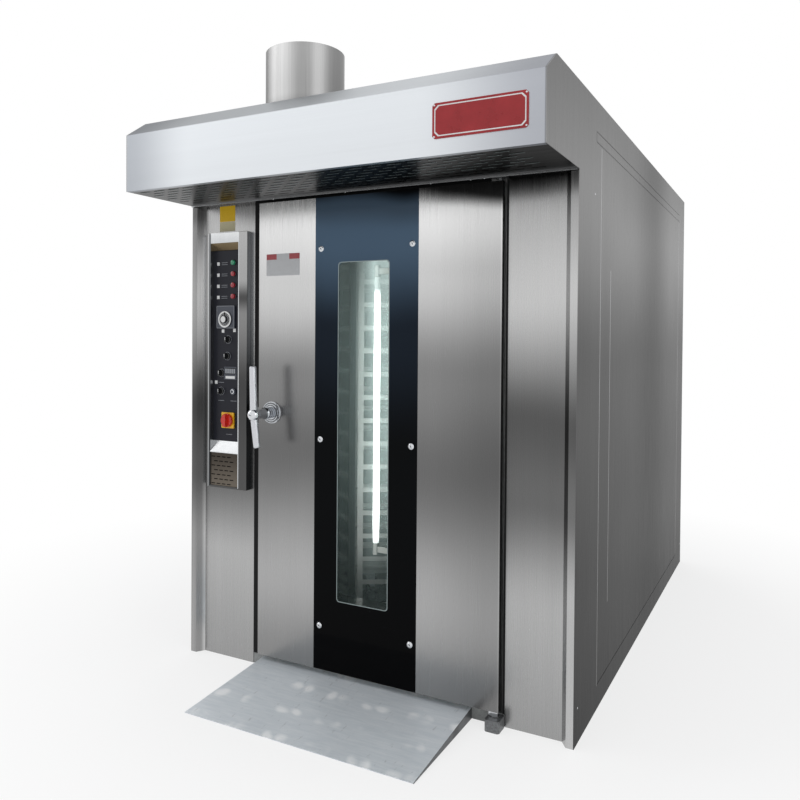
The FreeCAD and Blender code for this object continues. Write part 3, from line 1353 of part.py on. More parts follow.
def make_controls():
    """Bezel, black fascia and the fixed instruments on it."""
    bezel = body("control_bezel")
    pad(bezel, "XZ", bezel_front, panel_face,
        lambda s: rectangle(s, bezel_left, bezel_right, bezel_low, bezel_high))
    floor_face = f"({panel_face} - bezel_back)"
    pocket(bezel, "YZ", fascia_left, fascia_right, lambda s: polygon(s, [
        (bezel_front, recess_top), (floor_face, fascia_high), (floor_face, fascia_low),
        (bezel_front, recess_low)]))
    pocket(bezel, "XZ", bezel_front, f"{bezel_front} + vent_inset", lambda s: rectangle(
        s, fascia_left, fascia_right, vent_low, vent_high))
    keep(bezel, "control_bezel")

    plate = box("fascia_plate", fascia_left, fascia_right, fascia_face, floor_face,
                fascia_low, fascia_high)
    keep(plate, "control_fascia")

    vent = body("vent_plate")
    vent_face = f"({bezel_front} + vent_inset - fascia_thickness)"
    vent_back = f"({bezel_front} + vent_inset)"
    pad(vent, "XZ", vent_face, vent_back, lambda s: rectangle(
        s, fascia_left, fascia_right, vent_low, vent_high))
    columns = count("(bezel_width - bezel_flange_left - bezel_flange_right) / vent_pitch_across - 1")
    rows = count("vent_height / vent_pitch_up / 2")
    for shift in (0, 1):
        x_low = f"({fascia_left} + vent_inset + {shift} * vent_pitch_across / 2)"
        z_low = f"({vent_low} + vent_inset + {shift} * vent_pitch_up)"
        slot = pocket(vent, "XZ", vent_face, vent_back,
                      lambda s, a=x_low, b=z_low: rectangle(
                          s, a, f"{a} + vent_slot_length", b, f"{b} + vent_slot_width"))
        repeat_grid(slot, f"vent_pitch_across * {columns - 1}", columns,
                    f"vent_pitch_up * 2 * {rows - 1}", rows)
    keep(vent, "vent_plate")

    lamps = []
    for step in range(4):
        lamp = body(f"indicator_lamp_{step}")
        turned(lamp, [
            ("0", "0"), ("pilot_radius", "0"), ("pilot_radius", "pilot_height * 0.3"),
            ("pilot_radius * 0.8", "pilot_height * 0.45"),
            ("pilot_radius * 0.62", "pilot_height * 0.85"), ("0", "pilot_height")])
        place(lamp, pilot_x, fascia_face, f"{pilot_row} - {step} * pilot_pitch", FORWARD)
        lamps.append(lamp)
    keep(group("indicator_set", lamps), "indicator_lamps")

    case = body("timer_case")
    half_case = "(timer_size / 2)"
    pad(case, "XZ", f"{fascia_face} - timer_case", fascia_face, lambda s: octagon(
        s, f"{timer_x} - {half_case}", f"{timer_x} + {half_case}",
        f"{timer_row} - {half_case}", f"{timer_row} + {half_case}", "fascia_thickness"))
    counter = body("counter_case")
    half_wide = "(counter_width / 2)"
    half_tall = "(counter_rise / 2)"
    pad(counter, "XZ", f"{fascia_face} - counter_case", fascia_face, lambda s: rectangle(
        s, f"{counter_x} - {half_wide}", f"{counter_x} + {half_wide}",
        f"{row_c} - {half_tall}", f"{row_c} + {half_tall}"))
    collar = body("button_collar")
    turned(collar, tube("button_collar", "button_radius + running_gap", "0", "button_travel * 1.5"))
    place(collar, button_x, fascia_face, row_d, FORWARD)
    keep(group("instrument_set", [case, counter, collar]), "panel_instruments")

    plate = body("switch_plate")
    half_plate = "(switch_plate_size / 2)"
    pad(plate, "XZ", f"{fascia_face} - switch_plate_depth", fascia_face, lambda s: octagon(
        s, f"{switch_x} - {half_plate}", f"{switch_x} + {half_plate}",
        f"{switch_row} - {half_plate}", f"{switch_row} + {half_plate}", "fascia_thickness"))
    keep(plate, "switch_plate")


def make_knobs():
    """Every control that moves under a hand."""
    dial = body("timer_dial")
    turned(dial, [
        ("0", "running_gap"), ("dial_radius", "running_gap"), ("dial_radius", "knob_base / 2"),
        ("dial_radius * 0.9", "knob_base * 0.7"), ("dial_radius * 0.45", "knob_base * 0.7"),
        ("dial_radius * 0.4", "knob_base * 1.9"), ("0", "knob_base * 2")])
    pad(dial, "XY", "knob_base * 0.7", "knob_base * 1.1", lambda s: rectangle(
        s, "-fascia_thickness", "fascia_thickness", "dial_radius * 0.4", "dial_radius * 0.88"))
    place(dial, timer_x, f"{fascia_face} - timer_case", f"{timer_row} - dial_drop", FORWARD)
    keep(dial, "timer_dial")

    for letter, row in (("a", row_a), ("b", row_b), ("c", row_c), ("d", row_d)):
        knob = body(f"selector_knob_{letter}")
        turned(knob, [
            ("0", "running_gap"), ("knob_radius", "running_gap"), ("knob_radius", "knob_base * 0.7"),
            ("knob_radius * 0.85", "knob_base"), ("0", "knob_base")])
        pad(knob, "XY", "knob_base * 0.9", "knob_base + knob_grip", lambda s: polygon(s, [
            ("-knob_grip_width / 2", "-knob_radius * 0.8"), ("knob_grip_width / 2", "-knob_radius * 0.8"),
            ("knob_grip_width / 2", "knob_radius * 0.6"), ("0", "knob_radius * 0.95"),
            ("-knob_grip_width / 2", "knob_radius * 0.6")]))
        place(knob, f"{bezel_left} + knob_{letter}_offset", fascia_face, row, FORWARD)
        keep(knob, f"selector_knob_{letter}")

    main = body("main_switch_knob")
    turned(main, [
        ("0", "running_gap"), ("switch_knob_radius", "running_gap"),
        ("switch_knob_radius", "switch_knob_depth * 0.35"),
        ("switch_knob_radius * 0.9", "switch_knob_depth * 0.5"), ("0", "switch_knob_depth * 0.5")])
    pad(main, "XY", "switch_knob_depth * 0.4", "switch_knob_depth", lambda s: polygon(s, [
        ("-knob_grip_width", "-switch_knob_radius * 0.85"), ("knob_grip_width", "-switch_knob_radius * 0.85"),
        ("knob_grip_width * 1.3", "0"),
        ("knob_grip_width", "switch_knob_radius * 0.85"), ("-knob_grip_width", "switch_knob_radius * 0.85"),
        ("-knob_grip_width * 1.3", "0")]))
    place(main, switch_x, f"{fascia_face} - switch_plate_depth", switch_row, FORWARD)
    keep(main, "main_switch_knob")

    button = body("push_button")
    turned(button, [
        ("0", "button_travel + running_gap"), ("button_radius", "button_travel + running_gap"),
        ("button_radius", "button_travel * 2.4"), ("button_radius * 0.85", "button_travel * 2.7"),
        ("0", "button_travel * 2.7")])
    place(button, button_x, fascia_face, row_d, FORWARD)
    keep(button, "push_button")


def make_plates():
    """Blank sign plate on the hood and the loading ramp."""
    sign = body("sign_plate")
    nose = deep("-hood_reach")
    pad(sign, "XZ", f"{nose} - sign_thickness", nose, lambda s: octagon(
        s, f"{half} - sign_inset - sign_width", f"{half} - sign_inset", "hood_bottom + sign_rise",
        "hood_bottom + sign_rise + sign_height", "sign_corner"))
    keep(sign, "sign_plate")

    ramp = body("loading_ramp")
    nose_y = deep("-ramp_reach")
    heel_y = f"({wall_face} - running_gap)"
    ramp_left = f"({door_left} + ramp_gap_left)"
    ramp_right = f"({door_right} - ramp_gap_right)"
    pad(ramp, "YZ", ramp_left, ramp_right, lambda s: polygon(s, [
        (nose_y, "0"), (heel_y, "ramp_rise"), (heel_y, "ramp_rise + ramp_plate"),
        (f"{nose_y}", "ramp_plate / 2")]))
    for low in (ramp_left, f"({ramp_right} - ramp_plate)"):
        pad(ramp, "YZ", low, f"{low} + ramp_plate", lambda s: polygon(s, [
            (nose_y, "0"), (heel_y, "0"), (heel_y, "ramp_rise + ramp_plate / 2")]))
    keep(ramp, "loading_ramp")


make_base()
make_shell()
make_hood()
make_front()
make_chamber()
make_heat()
make_roof_services()
make_turntable()
make_rack()
make_door()
make_door_metal()
make_handle()
make_controls()
make_knobs()
make_plates()
doc.recompute()

faults = [item.Name for item in doc.Objects if {"Invalid", "Error"} & set(item.State)]
for name, item in nodes.items():
    shape = item.Shape
    if shape.isNull() or not shape.isValid() or not shape.Solids:
        faults.append(name)
if faults:
    raise RuntimeError("sub-parts that failed: " + ", ".join(faults))

os.makedirs("parts", exist_ok=True)
for name, item in nodes.items():
    item.Shape.exportStep(f"parts/{name}.step")
    print(f"{name}: {len(item.Shape.Solids)} solids, {item.Shape.Volume / 1e6:.3f} litres")
print(len(nodes), "sub-parts")
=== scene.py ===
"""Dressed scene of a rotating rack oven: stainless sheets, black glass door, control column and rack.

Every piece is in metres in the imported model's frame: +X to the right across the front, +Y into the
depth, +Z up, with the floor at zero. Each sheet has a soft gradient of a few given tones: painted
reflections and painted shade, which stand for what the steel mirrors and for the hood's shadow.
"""
import logging
import math
from dataclasses import dataclass
from enum import Enum
from typing import Any, Sequence

import bpy
import numpy as np
from mathutils import Matrix, Vector


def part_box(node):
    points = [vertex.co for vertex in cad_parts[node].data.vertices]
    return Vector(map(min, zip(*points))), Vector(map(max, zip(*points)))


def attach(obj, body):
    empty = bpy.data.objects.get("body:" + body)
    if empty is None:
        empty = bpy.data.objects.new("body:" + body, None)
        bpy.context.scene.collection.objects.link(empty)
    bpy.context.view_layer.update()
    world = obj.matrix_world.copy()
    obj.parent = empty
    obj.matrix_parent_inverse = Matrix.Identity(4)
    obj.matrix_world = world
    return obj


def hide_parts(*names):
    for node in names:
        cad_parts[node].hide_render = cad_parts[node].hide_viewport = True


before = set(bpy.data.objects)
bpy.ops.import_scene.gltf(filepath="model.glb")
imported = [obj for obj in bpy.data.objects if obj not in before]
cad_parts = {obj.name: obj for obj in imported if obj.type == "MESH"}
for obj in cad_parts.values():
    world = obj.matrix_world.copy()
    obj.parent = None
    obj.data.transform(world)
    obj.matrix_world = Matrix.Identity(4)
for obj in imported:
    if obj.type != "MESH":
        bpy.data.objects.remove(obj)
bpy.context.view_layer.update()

LOG = logging.getLogger("rack_oven")
FRONT = -1.0155  # depth place of the door's face
CREASE = 32.0  # degrees past which an edge of a turned piece stays crisp
DRIFT = (1.6, 1.1, 1.3)  # waves per metre in which the painted reflection bands of a sheet wander
SHADE = (1.6, 1.85)  # heights between which the slanted bands of the hood's painted shadow set in
Stops = tuple[tuple[float, str], ...]
Outline = Sequence[tuple[float, float]]


# ---------------------------------------------------------------- colour and nodes

def linear(code: str) -> tuple[float, float, float, float]:
    """Turn an sRGB hex value into the linear colour that shaders take.

    Args:
        code: Six hexadecimal digits, such as "c8cccd", or two for a grey.

    Returns:
        Red, green, blue and an alpha of one.
    """
    full = code * 3 if len(code) == 2 else code
    parts = np.array([int(full[i:i + 2], 16) / 255.0 for i in (0, 2, 4)])
    low = parts / 12.92
    high = ((parts + 0.055) / 1.055) ** 2.4
    red, green, blue = np.where(parts <= 0.04045, low, high)
    return float(red), float(green), float(blue), 1.0


class Axis(Enum):
    """Axis of the model's frame, by its index."""

    ACROSS = 0
    DEEP = 1
    UP = 2


class Tree:
    """Node tree of a material or a world, filled one node at a time."""

    def __init__(self, owner: Any) -> None:
        """Empty the tree of a new material or world."""
        owner.use_nodes = True
        self.owner = owner
        self.nodes, self.links = owner.node_tree.nodes, owner.node_tree.links
        self.nodes.clear()

    def add(self, kind: str, settings: dict[str, Any] | None = None, **inputs: Any) -> Any:
        """Add a node with its settings, values and links.

        Args:
            kind: Blender's node type.
            settings: Properties of the node itself.
            **inputs: Values or output sockets, by the input's name with _ for spaces, or by _number.

        Returns:
            The new node.
        """
        node = self.nodes.new(kind)
        for key, value in (settings or {}).items():
            setattr(node, key, value)
        self.feed(node, **inputs)
        return node

    def feed(self, node: Any, **inputs: Any) -> None:
        """Set or link the inputs of a node.

        Args:
            node: The node.
            **inputs: Values or output sockets, named as in add.
        """
        for key, value in inputs.items():
            socket = node.inputs[int(key[1:])] if key[0] == "_" else node.inputs[key.replace("_", " ")]
            if isinstance(value, bpy.types.NodeSocket):
                self.links.new(value, socket)
            else:
                socket.default_value = value

    def sum(self, first: Any, second: Any, operation: str = "ADD", third: Any = 0.0) -> Any:
        """Work out one arithmetic step, by Blender's name for it, on sockets or numbers."""
        return self.add("ShaderNodeMath", {"operation": operation}, _0=first, _1=second,
                        _2=third).outputs[0]

    def looked_at(self) -> Any:
        """Give one for rays from the camera, from metal and through glass, and zero for the others."""
        path = self.add("ShaderNodeLightPath").outputs
        return self.sum(self.sum(path["Is Camera Ray"], path["Is Glossy Ray"], "MAXIMUM"),
                        path["Is Transmission Ray"], "MAXIMUM")


class Recipe(Tree):
    """Node tree of one material with a Principled shader."""

    def __init__(self, name: str) -> None:
        """Make the material and link its shader."""
        super().__init__(bpy.data.materials.new(name))
        self.output = self.add("ShaderNodeOutputMaterial")
        self.shader = self.add("ShaderNodeBsdfPrincipled")
        self.feed(self.output, Surface=self.shader.outputs[0])

    def set(self, **inputs: Any) -> None:
        """Feed the main shader's inputs, by name with _ for spaces."""
        self.feed(self.shader, **inputs)

    def point(self) -> Any:
        """Give the Object coordinates."""
        return self.add("ShaderNodeTexCoord").outputs["Object"]

    def place(self, axis: Axis) -> Any:
        """Give one Object coordinate in metres."""
        return self.add("ShaderNodeSeparateXYZ", None, Vector=self.point()).outputs[axis.value]

    def grain(self, scale: Sequence[float], detail: float, rough: float) -> Any:
        """Give noise from zero to one by its grains per metre along each axis, octaves and their weight."""
        mapped = self.add("ShaderNodeMapping", Vector=self.point(), Scale=tuple(scale))
        return self.add("ShaderNodeTexNoise", Vector=mapped.outputs[0], Scale=1.0, Detail=detail,
                        Roughness=rough).outputs[0]

    def spread(self, value: Any, low: float, high: float, start: float = 0.3, end: float = 0.7) -> Any:
        """Map a value so that start becomes low and end becomes high."""
        return self.add("ShaderNodeMapRange", None, _0=value, _1=start, _2=end, _3=low, _4=high).outputs[0]

    def blend(self, value: Any, first: Any, second: Any, kind: str = "MIX") -> Any:
        """Blend two colours, given as hex or sockets, by a value."""
        pair = [linear(colour) if isinstance(colour, str) else colour for colour in (first, second)]
        return self.add("ShaderNodeMix", {"data_type": "RGBA", "blend_type": kind}, _0=value,
                        _6=pair[0], _7=pair[1]).outputs[2]

    def gradient(self, value: Any, stops: Stops) -> Any:
        """Run a value through colour stops.

        Args:
            value: Place in metres.
            stops: Places and hex colours, in rising order.

        Returns:
            The colour socket.
        """
        low, high = stops[0][0], stops[-1][0]
        node = self.add("ShaderNodeValToRGB", None, _0=self.spread(value, 0.0, 1.0, low, high))
        node.color_ramp.interpolation = "EASE"
        elements = node.color_ramp.elements
        elements[0].color, elements[1].color = linear(stops[0][1]), linear(stops[-1][1])
        for place, code in stops[1:-1]:
            elements.new((place - low) / (high - low)).color = linear(code)
        return node.outputs[0]

    def roughen(self, grain: Any, rough: float) -> None:
        """Let the roughness follow a grain, from a little below to a little above its middle."""
        self.set(Roughness=self.spread(grain, rough - 0.04, rough + 0.05))

    def bump(self, height: Any, distance: float, strength: float) -> None:
        """Raise the surface by a height map from zero to one, in metres at one."""
        node = self.add("ShaderNodeBump", None, Height=height, Distance=distance, Strength=strength)
        self.set(Normal=node.outputs[0])


# ---------------------------------------------------------------- finishes

class Brushing(Enum):
    """Direction in which a sheet was brushed, as grains per metre along X, Y and Z.

    Real brush lines are a tenth of a millimetre apart, too fine to show, so they are drawn 5 mm apart.
    """

    UPRIGHT = (200.0, 200.0, 3.0)
    ACROSS = (3.0, 200.0, 200.0)
    DEEP = (200.0, 3.0, 200.0)


@dataclass(frozen=True)
class StainlessSheet:
    """Stainless sheet with a number 4 finish: satin, drawn in one direction.

    Its colour carries painted reflections and painted shade: long soft bands, lighter and darker along its
    height and width, stand for what the brushed sheet mirrors and for the hood's shadow. The brushing
    leaves faint lines along the drawing direction.
    """

    name: str
    up: Stops  # painted reflection and shade tones along Z
    across: Stops = ()  # painted tones along X that the others are multiplied by
    deep: Stops = ()  # painted tones along Y that the others are multiplied by
    rough: float = 0.34  # roughness of the sheet
    brushing: Brushing = Brushing.UPRIGHT  # drawing direction
    lines: float = 0.025  # strength of the brush lines
    wander: float = 0.04  # how far in metres the painted bands wander
    metal: float = 1.0  # share of the metal's reflection
    slant: float = 0.0  # metres that the painted shadow bands under the hood drop for each metre along X
    edge: str = "e0"  # tint of the reflection at a grazing angle

    def make(self) -> bpy.types.Material:
        """Build the material. Bands: painted reflections and shade, as colour stops at wandering places.
        Lines: stretched noise.
        """
        tree = Recipe(self.name)
        shift = tree.spread(tree.grain(DRIFT, 2.0, 0.4), -self.wander, self.wander)
        # painted shadow under the hood: between the SHADE heights the bands shift by the slant for each
        # metre along X
        drop = tree.spread(tree.place(Axis.UP), 0.0, self.slant, *SHADE)
        level = tree.sum(tree.place(Axis.ACROSS), drop, "MULTIPLY_ADD", shift)
        colour = tree.gradient(tree.sum(tree.place(Axis.UP), level), self.up)
        for axis, stops in ((Axis.ACROSS, self.across), (Axis.DEEP, self.deep)):
            if stops:
                colour = tree.blend(1.0, colour, tree.gradient(tree.place(axis), stops), "MULTIPLY")
        fine = tree.grain(self.brushing.value, 3.0, 0.6)
        broad = tree.grain([step / 6 for step in self.brushing.value], 2.0, 0.5)
        lines = [tree.spread(noise, 1 - self.lines * share, 1 + self.lines * share)
                 for noise, share in ((fine, 1.0), (broad, 0.8))]
        tree.set(Base_Color=tree.blend(1.0, colour, tree.sum(*lines, "MULTIPLY"), "MULTIPLY"),
                 Metallic=self.metal, Specular_Tint=linear(self.edge))
        tree.roughen(fine, self.rough)
        tree.bump(fine, 0.00001, 0.1)
        return tree.owner


@dataclass(frozen=True)
class PlainSurface:
    """A moulded, painted, printed or cast surface with a fine grain."""

    name: str
    dark: str  # colour in the hollows
    light: str  # colour on the rises
    rough: float  # roughness
    metal: float  # metallic share
    grit: float  # grain size in metres
    height: float = 0.00005  # height of the grain in metres
    gloss: float = 0.5  # specular level
    coat: float = 0.0  # clear coat weight
    glow: float = 0.0  # emission strength

    def make(self) -> bpy.types.Material:
        """Build the material from one noise at the grain's size."""
        tree = Recipe(self.name)
        grain = tree.grain((1.0 / self.grit,) * 3, 3.0, 0.6)
        tree.set(Base_Color=tree.blend(tree.spread(grain, 0.0, 1.0), self.dark, self.light),
                 Metallic=self.metal, Specular_IOR_Level=self.gloss)
        tree.roughen(grain, self.rough)
        if self.coat:
            tree.set(Coat_Weight=self.coat, Coat_Roughness=0.08)
        if self.glow:
            tree.set(Emission_Color=linear(self.light), Emission_Strength=self.glow)
        tree.bump(grain, self.height, 0.4)
        return tree.owner


@dataclass(frozen=True)
class PrintedGlass:
    """Tempered float glass with black ceramic print on its back: deep, cool and very smooth, with a painted
    navy reflection high up.
    """

    name: str
    up: Stops  # tones along Z: black below, a painted navy reflection near the top and painted shade at the very top

    def make(self) -> bpy.types.Material:
        """Build the material: print and its painted reflection under a faint clean gloss."""
        tree = Recipe(self.name)
        haze = tree.grain((2.0, 2.0, 1.2), 2.0, 0.4)
        shift = tree.spread(haze, -0.03, 0.03)
        tree.set(Base_Color=tree.gradient(tree.sum(tree.place(Axis.UP), shift), self.up),
                 Roughness=tree.spread(haze, 0.04, 0.08), Specular_IOR_Level=0.04)
        return tree.owner


@dataclass(frozen=True)
class ClearGlass:
    """Clear pane with a thin film of baking haze, thicker toward the top, with a painted glow near the lamp
    tube.
    """

    name: str
    film: str  # colour of the haze
    lamp: float = 0.062  # place across of the painted glow that the lamp casts on the haze
    reach: float = 0.11  # distance across over which that painted glow fades
    begin: float = 0.42  # height where the painted glow begins
    full: float = 0.75  # height where it is full

    def make(self) -> bpy.types.Material:
        """Build the material: mostly open, with a share of hazy gloss and a painted glow."""
        tree = Recipe(self.name)
        haze = tree.grain((9.0, 9.0, 4.0), 3.0, 0.5)
        height = tree.place(Axis.UP)
        film = tree.spread(height, 0.03, 0.13, 0.4, 1.6)
        # painted glow on the haze: strongest across from the lamp and from the begin height up
        away = tree.sum(tree.sum(tree.place(Axis.ACROSS), -self.lamp), 0.0, "ABSOLUTE")
        near = tree.sum(tree.spread(away, 1.0, 0.0, 0.0, self.reach), 2.2, "POWER")
        lit = tree.sum(near, tree.spread(height, 0.0, 1.0, self.begin, self.full), "MULTIPLY")
        tree.set(Base_Color=linear(self.film), Roughness=0.08, Specular_IOR_Level=0.3,
                 Emission_Color=linear("dcf2ee"), Emission_Strength=tree.sum(lit, 2.0, "MULTIPLY"),
                 Alpha=tree.sum(film, tree.spread(haze, 0.8, 1.2), "MULTIPLY"))
        return tree.owner


@dataclass(frozen=True)
class GlowTube:
    """Frosted lamp tube whose light fades at both ends."""

    name: str
    low: float  # height in metres where the light begins
    high: float  # height in metres where it ends
    strength: float  # emission in the middle
    fade: float = 0.09  # length in metres of each fading end

    def make(self) -> bpy.types.Material:
        """Build the material: emission that rises from one end and falls at the other."""
        tree = Recipe(self.name)
        height = tree.place(Axis.UP)
        begin = tree.spread(height, 0.0, 1.0, self.low, self.low + self.fade)
        end = tree.spread(height, 1.0, 0.0, self.high - self.fade, self.high)
        level = tree.sum(tree.sum(begin, end, "MULTIPLY"), self.strength, "MULTIPLY")
        frost = tree.grain((300.0,) * 3, 2.0, 0.5)
        tree.set(Base_Color=linear("e9efec"), Roughness=tree.spread(frost, 0.3, 0.45),
                 Emission_Color=linear("f4fffb"), Emission_Strength=level)
        return tree.owner


@dataclass(frozen=True)
class RubbedPlate:
    """Mill-finish plate that rack wheels have rolled over: pale, scuffed, with pairs of dull round spots,
    and painted shade on its right flank.
    """

    name: str
    dark: str  # colour of the plate
    light: str  # colour of the rubbed spots
    pitch: float = 0.165  # distance in metres between pairs of spots along X
    row: float = 0.15  # distance in metres between rows along Y
    apart: float = 0.026  # half the distance in metres between the two spots of a pair
    flank: float = 0.4568  # place across where the painted shade on the plate's right flank begins

    def make(self) -> bpy.types.Material:
        """Build the material.

        Spots: X and Y are folded into one cell per pair, X is folded once more about the cell's middle
        into two spots, and the distance to the spot's middle fades from 12 to 28 mm. Past the flank, the
        plate is darkened as painted shade.
        """
        tree = Recipe(self.name)

        def folded(place: Any, size: float) -> Any:
            """Give the distance in metres from the middle of the cell that a place is in."""
            cell = tree.sum(tree.sum(place, 1 / size, "MULTIPLY"), 0.0, "FRACT")
            return tree.sum(tree.sum(cell, -0.5), size, "MULTIPLY")
        wobble = tree.grain((7.0,) * 3, 1.0, 0.5)
        across = tree.sum(tree.place(Axis.ACROSS), tree.spread(wobble, -0.014, 0.014))
        deep = tree.sum(tree.place(Axis.DEEP), tree.spread(wobble, -0.010, 0.012))
        slanted = tree.sum(across, tree.sum(deep, 0.35, "MULTIPLY"))
        pair = tree.sum(tree.sum(folded(slanted, self.pitch), 0.0, "ABSOLUTE"), -self.apart)
        lift = folded(deep, self.row)
        squares = [tree.sum(side, side, "MULTIPLY") for side in (pair, lift)]
        reach = tree.sum(tree.sum(*squares), 0.5, "POWER")
        patches = tree.grain((5.0,) * 3, 2.0, 0.5)
        spots = tree.sum(tree.spread(reach, 0.85, 0.0, 0.012, 0.028),
                         tree.spread(patches, 0.0, 1.0, 0.42, 0.55), "MULTIPLY")
        scuffs = tree.grain((9.0, 70.0, 9.0), 5.0, 0.7)
        marks = tree.grain((60.0, 14.0, 14.0), 4.0, 0.7)
        worn = tree.sum(spots, tree.spread(scuffs, 0.0, 0.45, 0.35, 0.75))
        # real dark marks, multiplied by the painted shade of the right flank
        marks_and_flank_shade = tree.sum(tree.spread(marks, 1.0, 0.72, 0.62, 0.72), tree.spread(
            tree.place(Axis.ACROSS), 1.0, 0.12, self.flank, self.flank + 0.0004), "MULTIPLY")
        colour = tree.blend(worn, self.dark, self.light)
        tree.set(Base_Color=tree.blend(1.0, colour, marks_and_flank_shade, "MULTIPLY"), Metallic=0.2,
                 Roughness=tree.spread(worn, 0.34, 0.6, 0.0, 0.9))
        tree.bump(scuffs, 0.0003, 0.3)
        return tree.owner


# Tones of the sheets are painted reflections and painted shade: lighter and darker bands for what each steel
# mirrors, and the hood's painted shadow at the top.
SHEETS = (
    # front panels: painted reflections, bright high and dark at mid height, and the hood's painted shadow at
    # the top
    StainlessSheet("stainless_front", (
        (0.0, "a4"), (0.45, "b0"), (0.8, "68"), (1.05, "58"), (1.5, "c4"), (1.88, "b4"), (1.97, "30")),
        rough=0.26, slant=0.09, lines=0.018),
    # corner posts: painted reflections along the height, and painted shade across the left post's outer part
    StainlessSheet("stainless_post", (
        (0.0, "c4"), (0.5, "b8"), (0.8, "70"), (1.05, "58"), (1.5, "c4"), (1.8, "a8"), (1.88, "80")), (
        (-0.8345, "dc"), (-0.796, "c0"), (-0.7925, "ff"), (0.8345, "ff")), rough=0.24),
    # door skins: painted reflections, the hood's slanting painted shadow at the top, and darker toward the
    # right edge with a painted highlight on its last millimetres
    StainlessSheet("stainless_door", (
        (0.05, "90"), (0.4, "aa"), (0.9, "6c"), (1.2, "84"), (1.6, "cc"), (1.86, "f0"), (1.93, "30")), (
        (0.25, "ff"), (0.5655, "e2"), (0.567, "ff"), (0.57, "ff")), rough=0.24, slant=0.12, lines=0.015),
    # side sheets: painted reflections and shade, darker toward the bottom, in bands along the depth
    StainlessSheet("stainless_side", (
        (0.0, "48"), (0.6, "66"), (1.2, "7c"), (1.8, "c0"), (2.2, "a8")), deep=(
        (-1.38, "d8"), (-0.2, "ee"), (0.4, "c2"), (1.0, "fa"), (1.44, "ff")),
        rough=0.30, lines=0.03, wander=0.08, edge="bc"),
    # hood fascia: painted reflections, darker toward both ends, and painted shade on its top face and right
    # end
    StainlessSheet("stainless_fascia", ((1.915, "f8"), (2.129, "fd"), (2.1335, "cc"), (2.2, "cc")), (
        (-0.8345, "b8bcc2"), (-0.5, "e8ecf0"), (0.4, "e8ecf0"), (0.834, "b6b9c0"), (0.8343, "50")),
        rough=0.40, brushing=Brushing.ACROSS, lines=0.012, wander=0.0, edge="c4"),
    # hood underside: painted shade, darkest toward the right
    StainlessSheet("stainless_underside", ((1.9, "ff"), (1.92, "ff")), (
        (-0.83, "60"), (0.0, "1e"), (0.83, "12")), brushing=Brushing.ACROSS),
    # flue: painted highlight and shade round the pipe, lighter toward the top
    StainlessSheet("rolled_flue_steel", ((2.19, "d0"), (2.24, "f0"), (2.42, "ff")), (
        (-0.33, "6c"), (-0.25, "8c"), (-0.18, "e2"), (-0.11, "a8"), (-0.055, "b0"), (-0.035, "8a")),
        rough=0.32, lines=0.06, wander=0.0),
    StainlessSheet("stainless_rear", ((0.0, "6e"), (0.6, "84"), (1.3, "94"), (2.2, "a8"))),
    StainlessSheet("polished_tunnel", ((0.0, "b4b8b7"), (2.0, "c4c8c7")), rough=0.1, lines=0.01),
    StainlessSheet("stainless_roof", ((2.0, "9c"), (2.5, "a8")), rough=0.36, brushing=Brushing.DEEP),
    # bright bezel strips: a painted highlight
    StainlessSheet("bezel_bright", ((0.7, "d2d4d6"), (0.93, "e8eaec"), (1.74, "cfd1d3"), (1.8, "e4e6e7")),
                   rough=0.2),
    # left fold: painted highlights on its edges and painted shade on its turned side
    StainlessSheet("bezel_left_fold", ((0.7, "b4b6b8"), (1.8, "d2d4d6")), (
        (-0.7535, "ff"), (-0.749, "f0"), (-0.7475, "60"), (-0.744, "50"), (-0.7425, "c0"), (-0.7405, "e0")),
        rough=0.2, wander=0.0),
    # flanges: painted reflection bands along the height
    StainlessSheet("bezel_flange", (
        (0.72, "54"), (1.15, "48"), (1.45, "86"), (1.52, "50"), (1.6, "a4"), (1.8, "b0")),
        rough=0.16, wander=0.004),
    # bezel edges: painted shade
    StainlessSheet("bezel_edge_dark", ((0.7, "46484a"), (1.8, "7c7f82")), rough=0.2),
    # return under the top strip: painted shade with a painted brown reflection
    StainlessSheet("bezel_brown", ((1.70, "6b5d47"), (1.76, "7e7058")), rough=0.3),
    # vent plate: darker toward the top, under the middle bar, as painted shade
    StainlessSheet("vent_sheet", ((0.72, "6c655c"), (0.87, "423d38")), rough=0.3),
    StainlessSheet("chamber_steel", ((0.0, "8f928e"), (1.2, "a3a6a1"), (2.1, "b0b3ae"))),
    StainlessSheet("rack_steel", ((0.0, "d4d5d1"), (2.1, "e2e3df")), metal=0.35),
    StainlessSheet("turned_steel", ((0.0, "9ea1a3"), (2.1, "b2b5b7")), rough=0.24),
    # bright strips at seams and edges: a painted highlight
    StainlessSheet("seam_bead_steel", ((0.05, "8a8a88"), (0.6, "a4a5a5"), (1.5, "c8cacb"), (2.1, "d4d6d8")),
                   rough=0.2))

